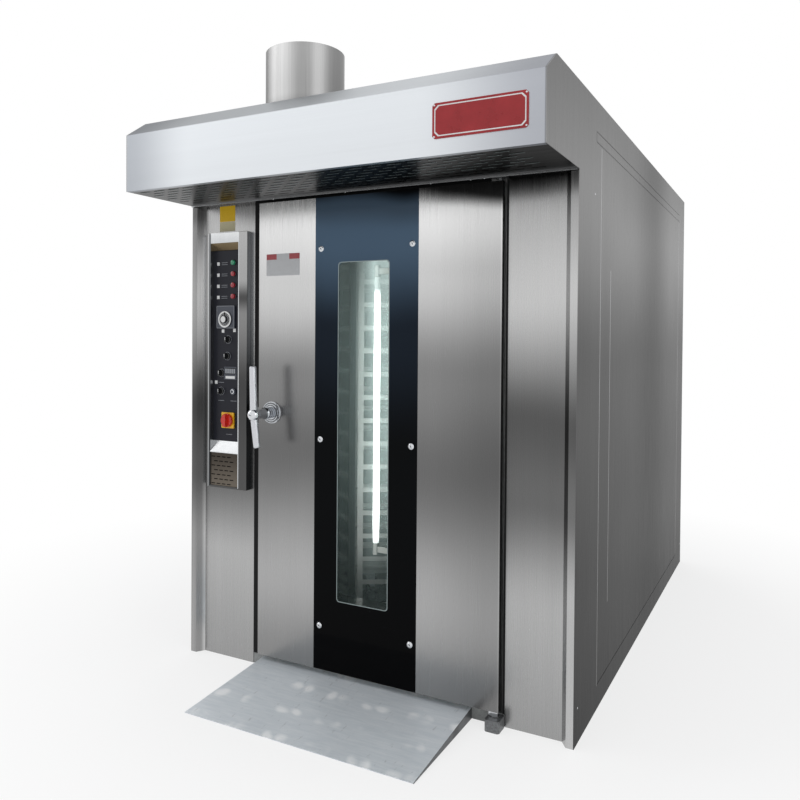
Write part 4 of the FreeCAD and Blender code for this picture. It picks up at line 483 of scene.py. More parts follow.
# name, dark, light, rough, metal, grit, height, gloss, coat, glow
SURFACES = (
    ("satin_cast_zinc", "c3c5c9", "d9dadf", 0.34, 0.85, 0.003),
    ("polished_nickel", "c4c7cb", "dfe1e4", 0.12, 1.0, 0.002, 0.00001),
    ("chromed_shaft", "aeb2b8", "d4d7db", 0.12, 1.0, 0.002, 0.00001),
    ("cast_motor_housing", "2d3b4c", "46566a", 0.45, 0.2, 0.002, 0.0001),
    ("galvanised_steel", "9aa1a3", "c0c6c8", 0.42, 0.8, 0.012),
    ("cast_steel", "5c5d5e", "86888a", 0.42, 0.8, 0.006, 0.0006),
    ("bearing_steel", "54565a", "85888c", 0.3, 0.9, 0.002),
    ("oxidised_heater_sheath", "3a322c", "5c5148", 0.55, 0.6, 0.004),
    ("window_edge_steel", "7c8888", "9aa5a5", 0.3, 0.7, 0.004, 0.00001),
    ("refractory_castable", "8b8d8d", "a5a7a6", 0.8, 0.0, 0.006, 0.0006),
    ("mineral_wool", "a89760", "cbbb82", 0.95, 0.0, 0.004, 0.0012),
    ("silicone_rubber", "040405", "0a0b0c", 0.6, 0.0, 0.002, 0.00005, 0.2),
    ("polyamide_tread", "141517", "26282b", 0.55, 0.0, 0.002),
    ("powder_coated_fascia", "12131c", "1d1f2a", 0.36, 0.0, 0.0015, 0.00004, 0.25),
    ("abs_black", "08090b", "14161a", 0.2, 0.0, 0.002, 0.00002, 0.5, 0.3),
    ("abs_case_grey", "3a3e48", "4c505b", 0.35, 0.0, 0.002, 0.00002, 0.3, 0.3),
    ("polycarbonate_red_lens", "7d0d1c", "b2142a", 0.12, 0.0, 0.01, 0.00001, 0.5, 0.6, 0.06),
    ("polycarbonate_green_lens", "0b5c40", "158f66", 0.12, 0.0, 0.01, 0.00001, 0.5, 0.6, 0.12),
    ("moulded_yellow", "e0a50e", "f7c51f", 0.32, 0.0, 0.002, 0.00002, 0.5, 0.2),
    ("moulded_red", "b8190f", "dc2b1b", 0.24, 0.0, 0.002, 0.00002, 0.5, 0.3),
    ("enamelled_red_plate", "96282c", "a42f33", 0.3, 0.0, 0.05, 0.00001, 0.25, 0.15),
    ("print_white", "d9dadb", "f0f0f0", 0.5, 0.0, 0.003, 0.00001, 0.2),
    ("print_grey", "8e9197", "a5a8ad", 0.5, 0.0, 0.003, 0.00001, 0.2),
    ("foil_pale", "b5b6b8", "c6c7c9", 0.4, 0.0, 0.003, 0.00001, 0.2),
    ("foil_yellow", "d2a91c", "e2ba2e", 0.4, 0.0, 0.003, 0.00001, 0.2),
    ("foil_faded_yellow", "bdb592", "cdc6a8", 0.4, 0.0, 0.003, 0.00001, 0.2),
    ("foil_red", "9c4a4e", "ad5c60", 0.4, 0.0, 0.003, 0.00001, 0.2),
    # near-black for slots and recesses that show only shade: painted shade
    ("dark_recess", "050506", "0b0b0c", 0.8, 0.0, 0.003, 0.00001, 0.1))

OTHER_FINISHES = (
    RubbedPlate("rubbed_ramp_plate", "d4dbe1", "f6f8fa"),
    GlowTube("frosted_lamp_tube", 0.565, 1.545, 6.0),
    # black print with a painted navy reflection high up and painted shade under the hood
    PrintedGlass("black_printed_glass", (
        (0.0, "050506"), (0.95, "080a0c"), (1.4, "1c242e"), (1.75, "566c82"), (1.84, "465666"),
        (1.9, "08090a"))),
    ClearGlass("clear_door_glass", "9fb3b0"))

SLOTS = {
    "polished_fittings": "polished_nickel", "cast_handle": "satin_cast_zinc chromed_shaft",
    "black_knob": "abs_black", "instrument_case": "abs_case_grey", "lamp_unit": "frosted_lamp_tube",
    "pilot_lens": "polycarbonate_red_lens polycarbonate_green_lens",
    "fascia_sheet": "bezel_bright bezel_flange bezel_left_fold bezel_brown bezel_edge_dark",
    "machined_steel": "cast_steel turned_steel"}


class Shop:
    """Keeps every finished material by its plain name, and the record's slot that it belongs to."""

    def __init__(self) -> None:
        """Make all the materials of the oven."""
        finishes = (*SHEETS, *(PlainSurface(*row) for row in SURFACES), *OTHER_FINISHES)
        self.materials = {finish.name: finish.make() for finish in finishes}
        self.slots = {name: slot for slot, names in SLOTS.items() for name in names.split()}

    def __getitem__(self, name: str) -> bpy.types.Material:
        """Give a material by its plain name."""
        return self.materials[name]


SHOP = Shop()


# ---------------------------------------------------------------- shapes

@dataclass(frozen=True)
class Shape:
    """Points and faces in a frame of their own."""

    points: np.ndarray  # vertex positions in metres
    faces: list[list[int]]  # vertex indices of each face
    smooth: bool = False  # shade it smooth
    crisp: bool = False  # keep its steep edges crisp all the same


def grid_faces(rows: int, columns: int, closed: bool = False) -> list[list[int]]:
    """Index the quads of a grid of points whose last column joins the first.

    Args:
        rows: Points along the first parameter.
        columns: Points along the second parameter.
        closed: Join the last row to the first.

    Returns:
        Four indices for each quad.
    """
    a, b = np.meshgrid(np.arange(rows if closed else rows - 1), np.arange(columns), indexing="ij")
    c, d = (a + 1) % rows, (b + 1) % columns
    return np.stack([a * columns + d, c * columns + d, c * columns + b, a * columns + b],
                    -1).reshape(-1, 4).tolist()


def turned(profile: Outline, steps: int = 40, crisp: bool = True) -> Shape:
    """Turn a profile about the third axis.

    A point of the surface is (r cos t, r sin t, z) for the profile's (r, z) and t over a full turn, and
    a flat face closes each end.

    Args:
        profile: Radius and height pairs in metres, from bottom to top.
        steps: Points round the turn.
        crisp: Keep its steep edges crisp.

    Returns:
        The smooth shape.
    """
    radii, heights = np.array(profile).T
    turn = np.linspace(0, 2 * np.pi, steps, endpoint=False)
    ring = np.stack([np.outer(radii, np.cos(turn)), np.outer(radii, np.sin(turn)),
                     np.outer(heights, np.ones(steps))], -1)
    last = (len(radii) - 1) * steps
    ends = [list(range(steps))[::-1], list(range(last, last + steps))]
    return Shape(ring.reshape(-1, 3), grid_faces(len(radii), steps) + ends, True, crisp)


def dome(radius: float, height: float) -> Shape:
    """Work out a rivet head: (r cos t, r sin t, h sqrt(1 - (r / R)^2)) from the rim to near the middle.

    Args:
        radius: R, at the rim.
        height: h, in the middle.

    Returns:
        The smooth shape, which dips a little below its rim.
    """
    share = np.linspace(0, np.pi / 2 * 0.92, 4)
    radii = [radius, *radius * np.cos(share)]
    heights = [-height * 0.3, *height * np.sin(share)]
    return turned(list(zip(radii, heights)), 16, False)


def slab(outline: Outline, depth: float) -> Shape:
    """Raise a flat outline along the third axis.

    The surface is the outline at height zero, the outline at the depth, and the wall between them.

    Args:
        outline: Corner points in metres, either way round.
        depth: Thickness.

    Returns:
        The flat-shaded shape.
    """
    flat = np.array(outline, float)
    after = np.roll(flat, -1, axis=0)
    if (flat[:, 0] * after[:, 1] - after[:, 0] * flat[:, 1]).sum() < 0:
        flat = flat[::-1]
    count = len(flat)
    points = np.vstack([np.column_stack([flat, np.full(count, height)]) for height in (0.0, depth)])
    faces = [list(range(count))[::-1], list(range(count, 2 * count))]
    faces += [[k, (k + 1) % count, count + (k + 1) % count, count + k] for k in range(count)]
    return Shape(points, faces)


def band(outer: Outline, inner: Outline, depth: float) -> Shape:
    """Raise the strip between two outlines with the same number of points.

    Args:
        outer: Outer corner points, counterclockwise.
        inner: Inner corner points, in step with the outer ones.
        depth: Thickness along the third axis.

    Returns:
        The flat-shaded shape.
    """
    rings = [np.column_stack([np.array(points, float), np.full(len(outer), height)])
             for points, height in ((outer, 0.0), (outer, depth), (inner, depth), (inner, 0.0))]
    return Shape(np.vstack(rings), grid_faces(4, len(outer), True))


def circle(radius: float, steps: int = 40) -> Outline:
    """List the points of a circle, counterclockwise."""
    turn = np.linspace(0, 2 * np.pi, steps, endpoint=False)
    return list(zip((radius * np.cos(turn)).tolist(), (radius * np.sin(turn)).tolist()))


def washer(outer: float, inner: float, depth: float, steps: int = 40) -> Shape:
    """Work out a flat ring from its two radii."""
    return band(circle(outer, steps), circle(inner, steps), depth)


def rounded(width: float, height: float, radius: float, steps: int = 6) -> Outline:
    """List the corners of a rectangle with round corners, centred on zero.

    Each corner is a quarter turn of the radius about its own centre.

    Args:
        width: Size across.
        height: Size upward.
        radius: Corner radius.
        steps: Points on each corner.

    Returns:
        Points, counterclockwise.
    """
    points: list[tuple[float, float]] = []
    for quarter, (sx, sy) in enumerate(((1, -1), (1, 1), (-1, 1), (-1, -1))):
        turn = np.linspace(-np.pi / 2, 0, steps) + quarter * np.pi / 2
        x = sx * (width / 2 - radius) + radius * np.cos(turn)
        y = sy * (height / 2 - radius) + radius * np.sin(turn)
        points += list(zip(x.tolist(), y.tolist()))
    return points


def label(width: float, height: float, radius: float = 0.003, depth: float = 0.0004) -> Shape:
    """Work out a thin plate with round corners."""
    return slab(rounded(width, height, radius), depth)


def tile(x: float, y: float, z: float) -> Shape:
    """Work out a block of three sizes, centred across and standing on zero along the third axis."""
    return slab([(a * x / 2, b * y / 2) for a, b in ((-1, -1), (1, -1), (1, 1), (-1, 1))], z)


def box(x: tuple[float, float], y: tuple[float, float]) -> Outline:
    """List the corners of a rectangle from its limits."""
    return [(x[0], y[0]), (x[1], y[0]), (x[1], y[1]), (x[0], y[1])]


# ---------------------------------------------------------------- places and pieces

def frame_at(place: Sequence[float], facing: Sequence[float], up: Sequence[float] = (0, 0, 1)) -> np.ndarray:
    """Give the axes of a local frame.

    Args:
        place: Origin.
        facing: Direction of its third axis.
        up: Direction that its second axis leans to.

    Returns:
        A four by four matrix that turns local points into the model's frame.
    """
    normal = Vector(facing).normalized()
    upward = Vector(up)
    if abs(normal.dot(upward.normalized())) > 0.99:
        upward = Vector((0, 1, 0))
    across = upward.cross(normal).normalized()
    second = normal.cross(across)
    return np.array([[across[i], second[i], normal[i], place[i]] for i in range(3)] + [[0, 0, 0, 1]])


def facing_front(x: float, y: float, z: float) -> np.ndarray:
    """Give a frame that faces the front, with its first axis to the right and its second upward."""
    return np.array([[1, 0, 0, x], [0, 0, -1, y], [0, 1, 0, z], [0, 0, 0, 1]], float)


def standing(x: float, y: float, z: float) -> np.ndarray:
    """Give a frame that is only moved."""
    return np.array([[1, 0, 0, x], [0, 1, 0, y], [0, 0, 1, z], [0, 0, 0, 1]], float)


def sharpen(mesh: bpy.types.Mesh) -> None:
    """Mark the edges at which two faces meet at more than the crease angle.

    Args:
        mesh: A mesh whose faces are shaded smooth.
    """
    normals = np.zeros(len(mesh.polygons) * 3)
    mesh.polygons.foreach_get("normal", normals)
    normals = normals.reshape(-1, 3)
    loops = np.zeros(len(mesh.loops), int)
    mesh.loops.foreach_get("edge_index", loops)
    totals = np.zeros(len(mesh.polygons), int)
    mesh.polygons.foreach_get("loop_total", totals)
    owner = np.repeat(np.arange(len(totals)), totals)
    order = np.argsort(loops, kind="stable")
    edges, starts, counts = np.unique(loops[order], return_index=True, return_counts=True)
    double = counts == 2
    first, second = owner[order][starts[double]], owner[order][starts[double] + 1]
    sharp = np.zeros(len(mesh.edges), bool)
    dots = np.einsum("ij,ij->i", normals[first], normals[second])
    sharp[edges[double]] = dots < math.cos(math.radians(CREASE))
    mesh.edges.foreach_set("use_edge_sharp", sharp)


def linked(name: str, data: Any) -> bpy.types.Object:
    """Put a mesh, camera or lamp into the scene as an object.

    Args:
        name: Name of the object.
        data: The mesh, camera or lamp.

    Returns:
        The new object.
    """
    thing = bpy.data.objects.new(name, data)
    bpy.context.collection.objects.link(thing)
    return thing


def piece(name: str, finish: str, shape: Shape, frames: Any, body: str = "cabinet") -> bpy.types.Object:
    """Put a shape, once or at several places, into a mesh that rides on a body.

    Args:
        name: Piece name.
        finish: Plain name of its material.
        shape: The shape.
        frames: Its local frame, or a list of the frames of its copies.
        body: The body that it moves with.

    Returns:
        The new object, at the origin.
    """
    matrices = np.reshape(frames, (-1, 4, 4))
    points = np.vstack([shape.points @ matrix[:3, :3].T + matrix[:3, 3] for matrix in matrices])
    mesh = bpy.data.meshes.new(name)
    mesh.from_pydata(points.tolist(), [], [
        [index + step * len(shape.points) for index in face]
        for step in range(len(matrices)) for face in shape.faces])
    mesh.validate()
    mesh.materials.append(SHOP[finish])
    mesh.polygons.foreach_set("use_smooth", np.full(len(mesh.polygons), shape.smooth))
    if shape.crisp:
        sharpen(mesh)
    thing = linked(name, mesh)
    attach(thing, body)
    LOG.info("piece %s rides on %s", name, body)
    return thing


def bar_across(name: str, finish: str, profile: Outline, left: float, right: float) -> bpy.types.Object:
    """Carry a (y, z) profile along X from left to right, on the cabinet."""
    matrix = np.array([[0, 0, 1, left], [1, 0, 0, 0], [0, 1, 0, 0], [0, 0, 0, 1]], float)
    return piece(name, finish, slab(profile, right - left), matrix)


def bar_up(name: str, finish: str, profile: Outline, low: float, high: float,
           body: str = "cabinet") -> bpy.types.Object:
    """Carry an (x, y) profile upward from low to high."""
    return piece(name, finish, slab(profile, high - low), standing(0, 0, low), body)


def bevelled(thing: bpy.types.Object, width: float, segments: int = 2) -> bpy.types.Object:
    """Round the sharp edges of a piece.

    Args:
        thing: The piece.
        width: Width of the rounding in metres.
        segments: Steps across it.

    Returns:
        The same piece.
    """
    modifier = thing.modifiers.new("edge", "BEVEL")
    modifier.width = width
    modifier.segments = segments
    modifier.limit_method = "ANGLE"
    modifier.angle_limit = math.radians(30)
    return thing


def paint(nodes: dict[str, str]) -> None:
    """Give carried-over nodes their finishes.

    Args:
        nodes: The nodes' names, with spaces between, for each plain material name.
    """
    for finish, names in nodes.items():
        for name in names.split():
            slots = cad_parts[name].data.materials
            if not slots:
                slots.append(SHOP[finish])
            for index in range(len(slots)):
                slots[index] = SHOP[finish]


# ---------------------------------------------------------------- sub-assemblies

@dataclass
class Cabinet:
    """Outer shell, hood, flue and roof services."""

    half: float = 0.8345  # half width of the cabinet
    hood_low: float = 1.915  # height of the hood's underside
    nose: float = -1.3785  # depth place of the hood's face
    pitch: tuple[float, float] = (0.073, 0.072)  # distance between the underside's slots across and deep
    # depth places of the side sheets' upright seams, with their low and high ends
    seams: tuple[tuple[float, float, float], ...] = (
        (-0.7075, 0.088, 2.047), (-0.545, 0.35, 1.62), (1.2265, 0.10, 2.047))

    def build(self) -> None:
        """Dress the shell's nodes and add its own details."""
        paint({
            "stainless_side": "left_side_skin right_side_skin", "stainless_front": "front_panels",
            "stainless_post": "corner_posts", "stainless_rear": "rear_skin door_frame",
            "stainless_roof": "roof_skin", "stainless_fascia": "hood_fascia",
            "stainless_underside": "hood_grille", "rolled_flue_steel": "flue_pipe",
            "chamber_steel": "chamber_floor duct_panels chamber_liner steam_generator",
            "refractory_castable": "base_pan", "bearing_steel": "floor_bearing",
            "silicone_rubber": "door_surround_seal", "mineral_wool": "insulation",
            "oxidised_heater_sheath": "heating_elements", "abs_case_grey": "power_gland",
            "cast_motor_housing": "exhaust_motor circulation_motor drive_gearmotor",
            "galvanised_steel": "exhaust_impeller circulation_impeller", "cast_steel": "door_ironwork",
            "rubbed_ramp_plate": "loading_ramp", "enamelled_red_plate": "sign_plate"})
        self.sign()
        self.side_details()
        self.hood_details()
        self.stickers()

    def sign(self) -> None:
        """Blank red sign plate: a white inner line with stepped corners, and four rivets."""
        low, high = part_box("sign_plate")
        middle = (low + high) / 2
        width, height, rivet = high.x - low.x, high.z - low.z, 0.0065

        def notched(inset: float) -> Outline:
            """List an outline whose corners step inward."""
            x, y, cut = width / 2 - inset, height / 2 - inset, 0.012
            near, far = cut * 0.45, cut * 0.55
            return [(-x + cut, -y), (x - cut, -y), (x - near, -y + far), (x, -y + cut),
                    (x, y - cut), (x - near, y - far), (x - cut, y),
                    (-x + cut, y), (-x + near, y - far), (-x, y - cut),
                    (-x, -y + cut), (-x + near, -y + far)]
        piece("sign_white_line", "print_white", band(notched(0.0070), notched(0.0105), 0.0003),
              facing_front(middle.x, low.y, middle.z))
        spots = [facing_front(middle.x + a * (width / 2 - rivet), low.y, middle.z + b * (height / 2 - rivet))
                 for a in (-1, 1) for b in (-1, 1)]
        piece("sign_rivets", "polished_nickel", dome(0.0030, 0.0012), spots)

    def side_details(self) -> None:
        """Strips beside the side sheets' seams, lighter as a painted highlight on their folded edges, and
        their screws.
        """
        for index, (deep, low, high) in enumerate(self.seams):
            for name, side in (("left", -1), ("right", 1)):
                face = side * self.half
                # thin bright strip: the painted highlight of the seam's folded edge
                bar_up(f"side_seam_highlight_{name}_{index}", "seam_bead_steel",
                       box((face - 0.0009 * side, face + 0.00004 * side), (deep, deep + 0.0045)), low, high)
        spots = [frame_at((side * (self.half - 0.0001), y, z), (side, 0, 0))
                 for side in (-1, 1) for y, z in ((-0.80, 1.868), (-0.97, 0.12), (1.40, 0.12), (1.40, 2.02))]
        piece("side_screws", "polished_nickel", dome(0.0055, 0.00014), spots)

    def hood_details(self) -> None:
        """Pressed lips on the underside's slots and a strip on the lintel edge, both lighter as painted
        highlights, and the lintel's screws.
        """
        left, near = -0.8325 + 0.030 + 0.025, self.nose + 0.022 + 0.015 + 0.0083
        low, (across, deep) = self.hood_low, self.pitch
        lips = [frame_at((left + across * (k + shift), near + deep * (j + shift), low), (0, 0, -1))
                for shift in (0, 0.5) for k in range(21) for j in range(3)]
        # lips in a lighter steel than the underside: a painted highlight for the slots' bright look
        piece("hood_slot_lips", "window_edge_steel", tile(0.050, 0.0024, 0.0009), lips)
        # bright strip along the lintel edge: a painted highlight
        bar_across("lintel_highlight", "seam_bead_steel", box(
            (FRONT - 0.0110, FRONT - 0.0101), (low - 0.0052, low - 0.0004)), -0.8320, 0.8320)
        screws = [frame_at((x, FRONT - 0.0070, low - 0.0049), (0, 0, -1))
                  for x in (-0.40, -0.06, 0.30, 0.455, 0.505)]
        piece("lintel_screws", "polished_nickel", dome(0.0028, 0.0016), screws)

    def stickers(self) -> None:
        """Bare foil labels where the real oven has printed notices."""
        for name, finish, height, z in (("upper", "foil_yellow", 0.066, 1.877),
                                        ("lower", "foil_faded_yellow", 0.040, 1.823)):
            piece(f"panel_label_{name}", finish, label(0.083, height),
                  facing_front(-0.6705, FRONT + 0.0330, z))


@dataclass
class Rack:
    """Turntable, rack, casters and the drive above."""

    def build(self) -> None:
        """Give the turning nodes their finishes."""
        paint({
            "rack_steel": "rack_frame rack_runners", "turned_steel": "turntable drive_shaft",
            "galvanised_steel": "caster_mountings front_left_caster_fork rear_left_caster_fork",
            "polyamide_tread": "front_left_caster_wheel rear_left_caster_wheel "
                               "front_right_caster_wheel rear_right_caster_wheel"})


@dataclass
class Door:
    """Door leaf with its glass, window, lamp, fittings and handle."""

    hinge: float = -0.407  # place of the handle's axis across
    grip: float = 1.053  # height of the handle's axis
    reach: float = 0.116  # how far the hub's middle stands off the door
    ball: float = 0.025  # radius of the hub
    # name, length and lean in degrees of each arm, and one for up or minus one for down
    arms: tuple[tuple[str, float, float, int], ...] = (("upper", 0.190, -1.8, 1), ("lower", 0.130, 7.5, -1))
    # window's left, right, low and high limits
    window: tuple[float, float, float, float] = (-0.093, 0.129, 0.338, 1.646)
    lamp: tuple[float, float] = (0.048, FRONT + 0.055)  # lamp tube's place across and deep

    def build(self) -> None:
        """Dress the door's nodes and add its own details."""
        paint({
            "polished_tunnel": "door_core", "stainless_door": "door_skins",
            "black_printed_glass": "door_black_glass", "clear_door_glass": "window_panes",
            "silicone_rubber": "door_gasket", "polished_nickel": "door_fittings"})
        self.handle()
        self.lamp_unit()
        self.window_edge()
        self.glass_screws()
        self.notice()

    def handle(self) -> None:
        """Two-arm lever: ribbed chrome sleeve, ball hub with a slotted cap, satin arms and a latch cam. The
        cap's slot and the rosette's grooves are dark as painted shade.
        """
        axis = frame_at((self.hinge, FRONT, self.grip), (0, -1, 0))
        ribs = [(0.0120, -0.0190), (0.0120, 0.0008), (0.0240, 0.0010), (0.0240, 0.0120)]
        for low in (0.012, 0.024, 0.036):
            ribs += [(0.0236, low + 0.0004), (0.0192, low + 0.0012), (0.0192, low + 0.0056),
                     (0.0236, low + 0.0064), (0.0240, low + 0.0070), (0.0240, low + 0.0120)]
        ribs += [(0.0225, 0.0500), (0.0195, 0.0560), (0.0188, 0.0800), (0.0192, 0.1000)]
        lean = np.linspace(-np.pi / 2 * 0.85, np.pi / 2 * 0.80, 14)
        ball = [(self.ball * math.cos(a), self.reach + self.ball * math.sin(a)) for a in lean]
        ball += [(0.0092, self.reach + 0.0238), (0.0086, self.reach + 0.0228), (0.0080, self.reach + 0.0242),
                 (0.0030, self.reach + 0.0249)]
        pieces = [piece("handle_sleeve", "chromed_shaft", turned(ribs), axis, "handle"),
                  piece("handle_hub", "polished_nickel", turned(ball), axis, "handle")]
        for name, length, degrees, side in self.arms:
            turn = math.radians(degrees)
            arm = [(0.0148, 0.012), (0.0148, 0.030), (0.0146, 0.040), (0.0142, length * 0.62),
                   (0.0136, length - 0.006), (0.0128, length - 0.0025), (0.0108, length - 0.0006),
                   (0.0060, length)]
            pieces.append(piece(f"handle_{name}_arm", "satin_cast_zinc", turned(arm), frame_at(
                (self.hinge, FRONT - self.reach, self.grip),
                (math.sin(turn), 0.0, side * math.cos(turn)), (0, 1, 0)), "handle"))
        disc = [(0.0435, 0.0060), (0.0432, 0.0072), (0.0405, 0.0078), (0.0392, 0.0064), (0.0360, 0.0064),
                (0.0352, 0.0086), (0.0318, 0.0092), (0.0308, 0.0074), (0.0282, 0.0074), (0.0274, 0.0100),
                (0.0245, 0.0104)]
        piece("handle_rosette_rings", "chromed_shaft", turned(disc), axis, "door")
        # dark rings in the rosette's grooves: painted shade
        for index, (outer, inner, lift) in enumerate(((0.0400, 0.0362, 0.0066), (0.0316, 0.0284, 0.0076))):
            piece(f"handle_rosette_groove_{index}", "cast_steel", washer(outer, inner, 0.0012),
                  facing_front(self.hinge, FRONT - lift, self.grip), "door")
        # the cap's slot as a dark tile: painted shade
        pieces.append(piece("handle_cap_slot", "dark_recess", tile(0.0105, 0.0022, 0.0004), frame_at(
            (self.hinge, FRONT - self.reach - 0.0247, self.grip), (0, -1, 0), (0.4, 0, 1)), "handle"))
        cam = box((-0.0153, 0.0153), (-0.086, 0.0153))
        pieces.append(piece("latch_cam_plate", "turned_steel", slab(cam, 0.008),
                            facing_front(self.hinge, FRONT + 0.0190, self.grip), "handle"))
        for thing in pieces:
            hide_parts("door_handle")

    def lamp_unit(self) -> None:
        """Lamp tube behind the window, with steel caps and holders on the tunnel's wall."""
        x, y = self.lamp
        spot = standing(x, y, 0)
        tube = [(0.0100, 0.571), (0.0115, 0.573), (0.0115, 1.5875), (0.0100, 1.589)]
        pieces = [piece("lamp_tube", "frosted_lamp_tube", turned(tube, 24), spot, "door")]
        for name, low in (("lower", 0.526), ("upper", 1.589)):
            cap = [(0.0115, low), (0.0130, low + 0.002), (0.0130, low + 0.043), (0.0115, low + 0.045)]
            pieces.append(piece(f"lamp_{name}_cap", "chamber_steel", turned(cap, 24), spot, "door"))
            pieces.append(bevelled(bar_up(
                f"lamp_{name}_holder", "chamber_steel", box((x + 0.010, 0.1405), (y - 0.008, y + 0.008)),
                low + 0.010, low + 0.034, "door"), 0.002))
        for thing in pieces:
            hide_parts("door_lamp")

    def window_edge(self) -> None:
        """Polished edge of the window's cut-out, its light grey a painted highlight."""
        left, right, low, high = self.window
        width, height = right - left, high - low
        edge = band(rounded(width + 0.003, height + 0.003, 0.013),
                    rounded(width - 0.003, height - 0.003, 0.011), 0.0004)
        piece("window_polished_edge", "window_edge_steel", edge,
              facing_front((left + right) / 2, FRONT, (low + high) / 2), "door")

    def glass_screws(self) -> None:
        """Slots, dark as painted shade, and washers of the six cap screws that hold the glass."""
        spots, rims = [], []
        for row, z in enumerate((0.230, 0.960, 1.702)):
            for column, x in enumerate((-0.174, 0.224)):
                spots.append(frame_at((x, FRONT - 0.0030, z), (0, -1, 0),
                                      (0.5 + row * 0.4, 0, 1 - column * 0.6)))
                rims.append(facing_front(x, FRONT, z))
        piece("glass_screw_slots", "dark_recess", tile(0.0110, 0.0016, 0.0003), spots, "door")
        piece("glass_screw_washers", "polished_nickel", dome(0.0118, 0.0012), rims, "door")

    def notice(self) -> None:
        """Bare foil label on the left skin, with two faded red fields."""
        piece("door_label", "foil_pale", label(0.163, 0.088, depth=0.0003),
              facing_front(-0.3565, FRONT, 1.648), "door")
        for name, x in (("left", -0.4125), ("right", -0.3005)):
            piece(f"door_label_{name}_field", "foil_red", label(0.050, 0.022, 0.001, 0.0005),
                  facing_front(x, FRONT, 1.680), "door")


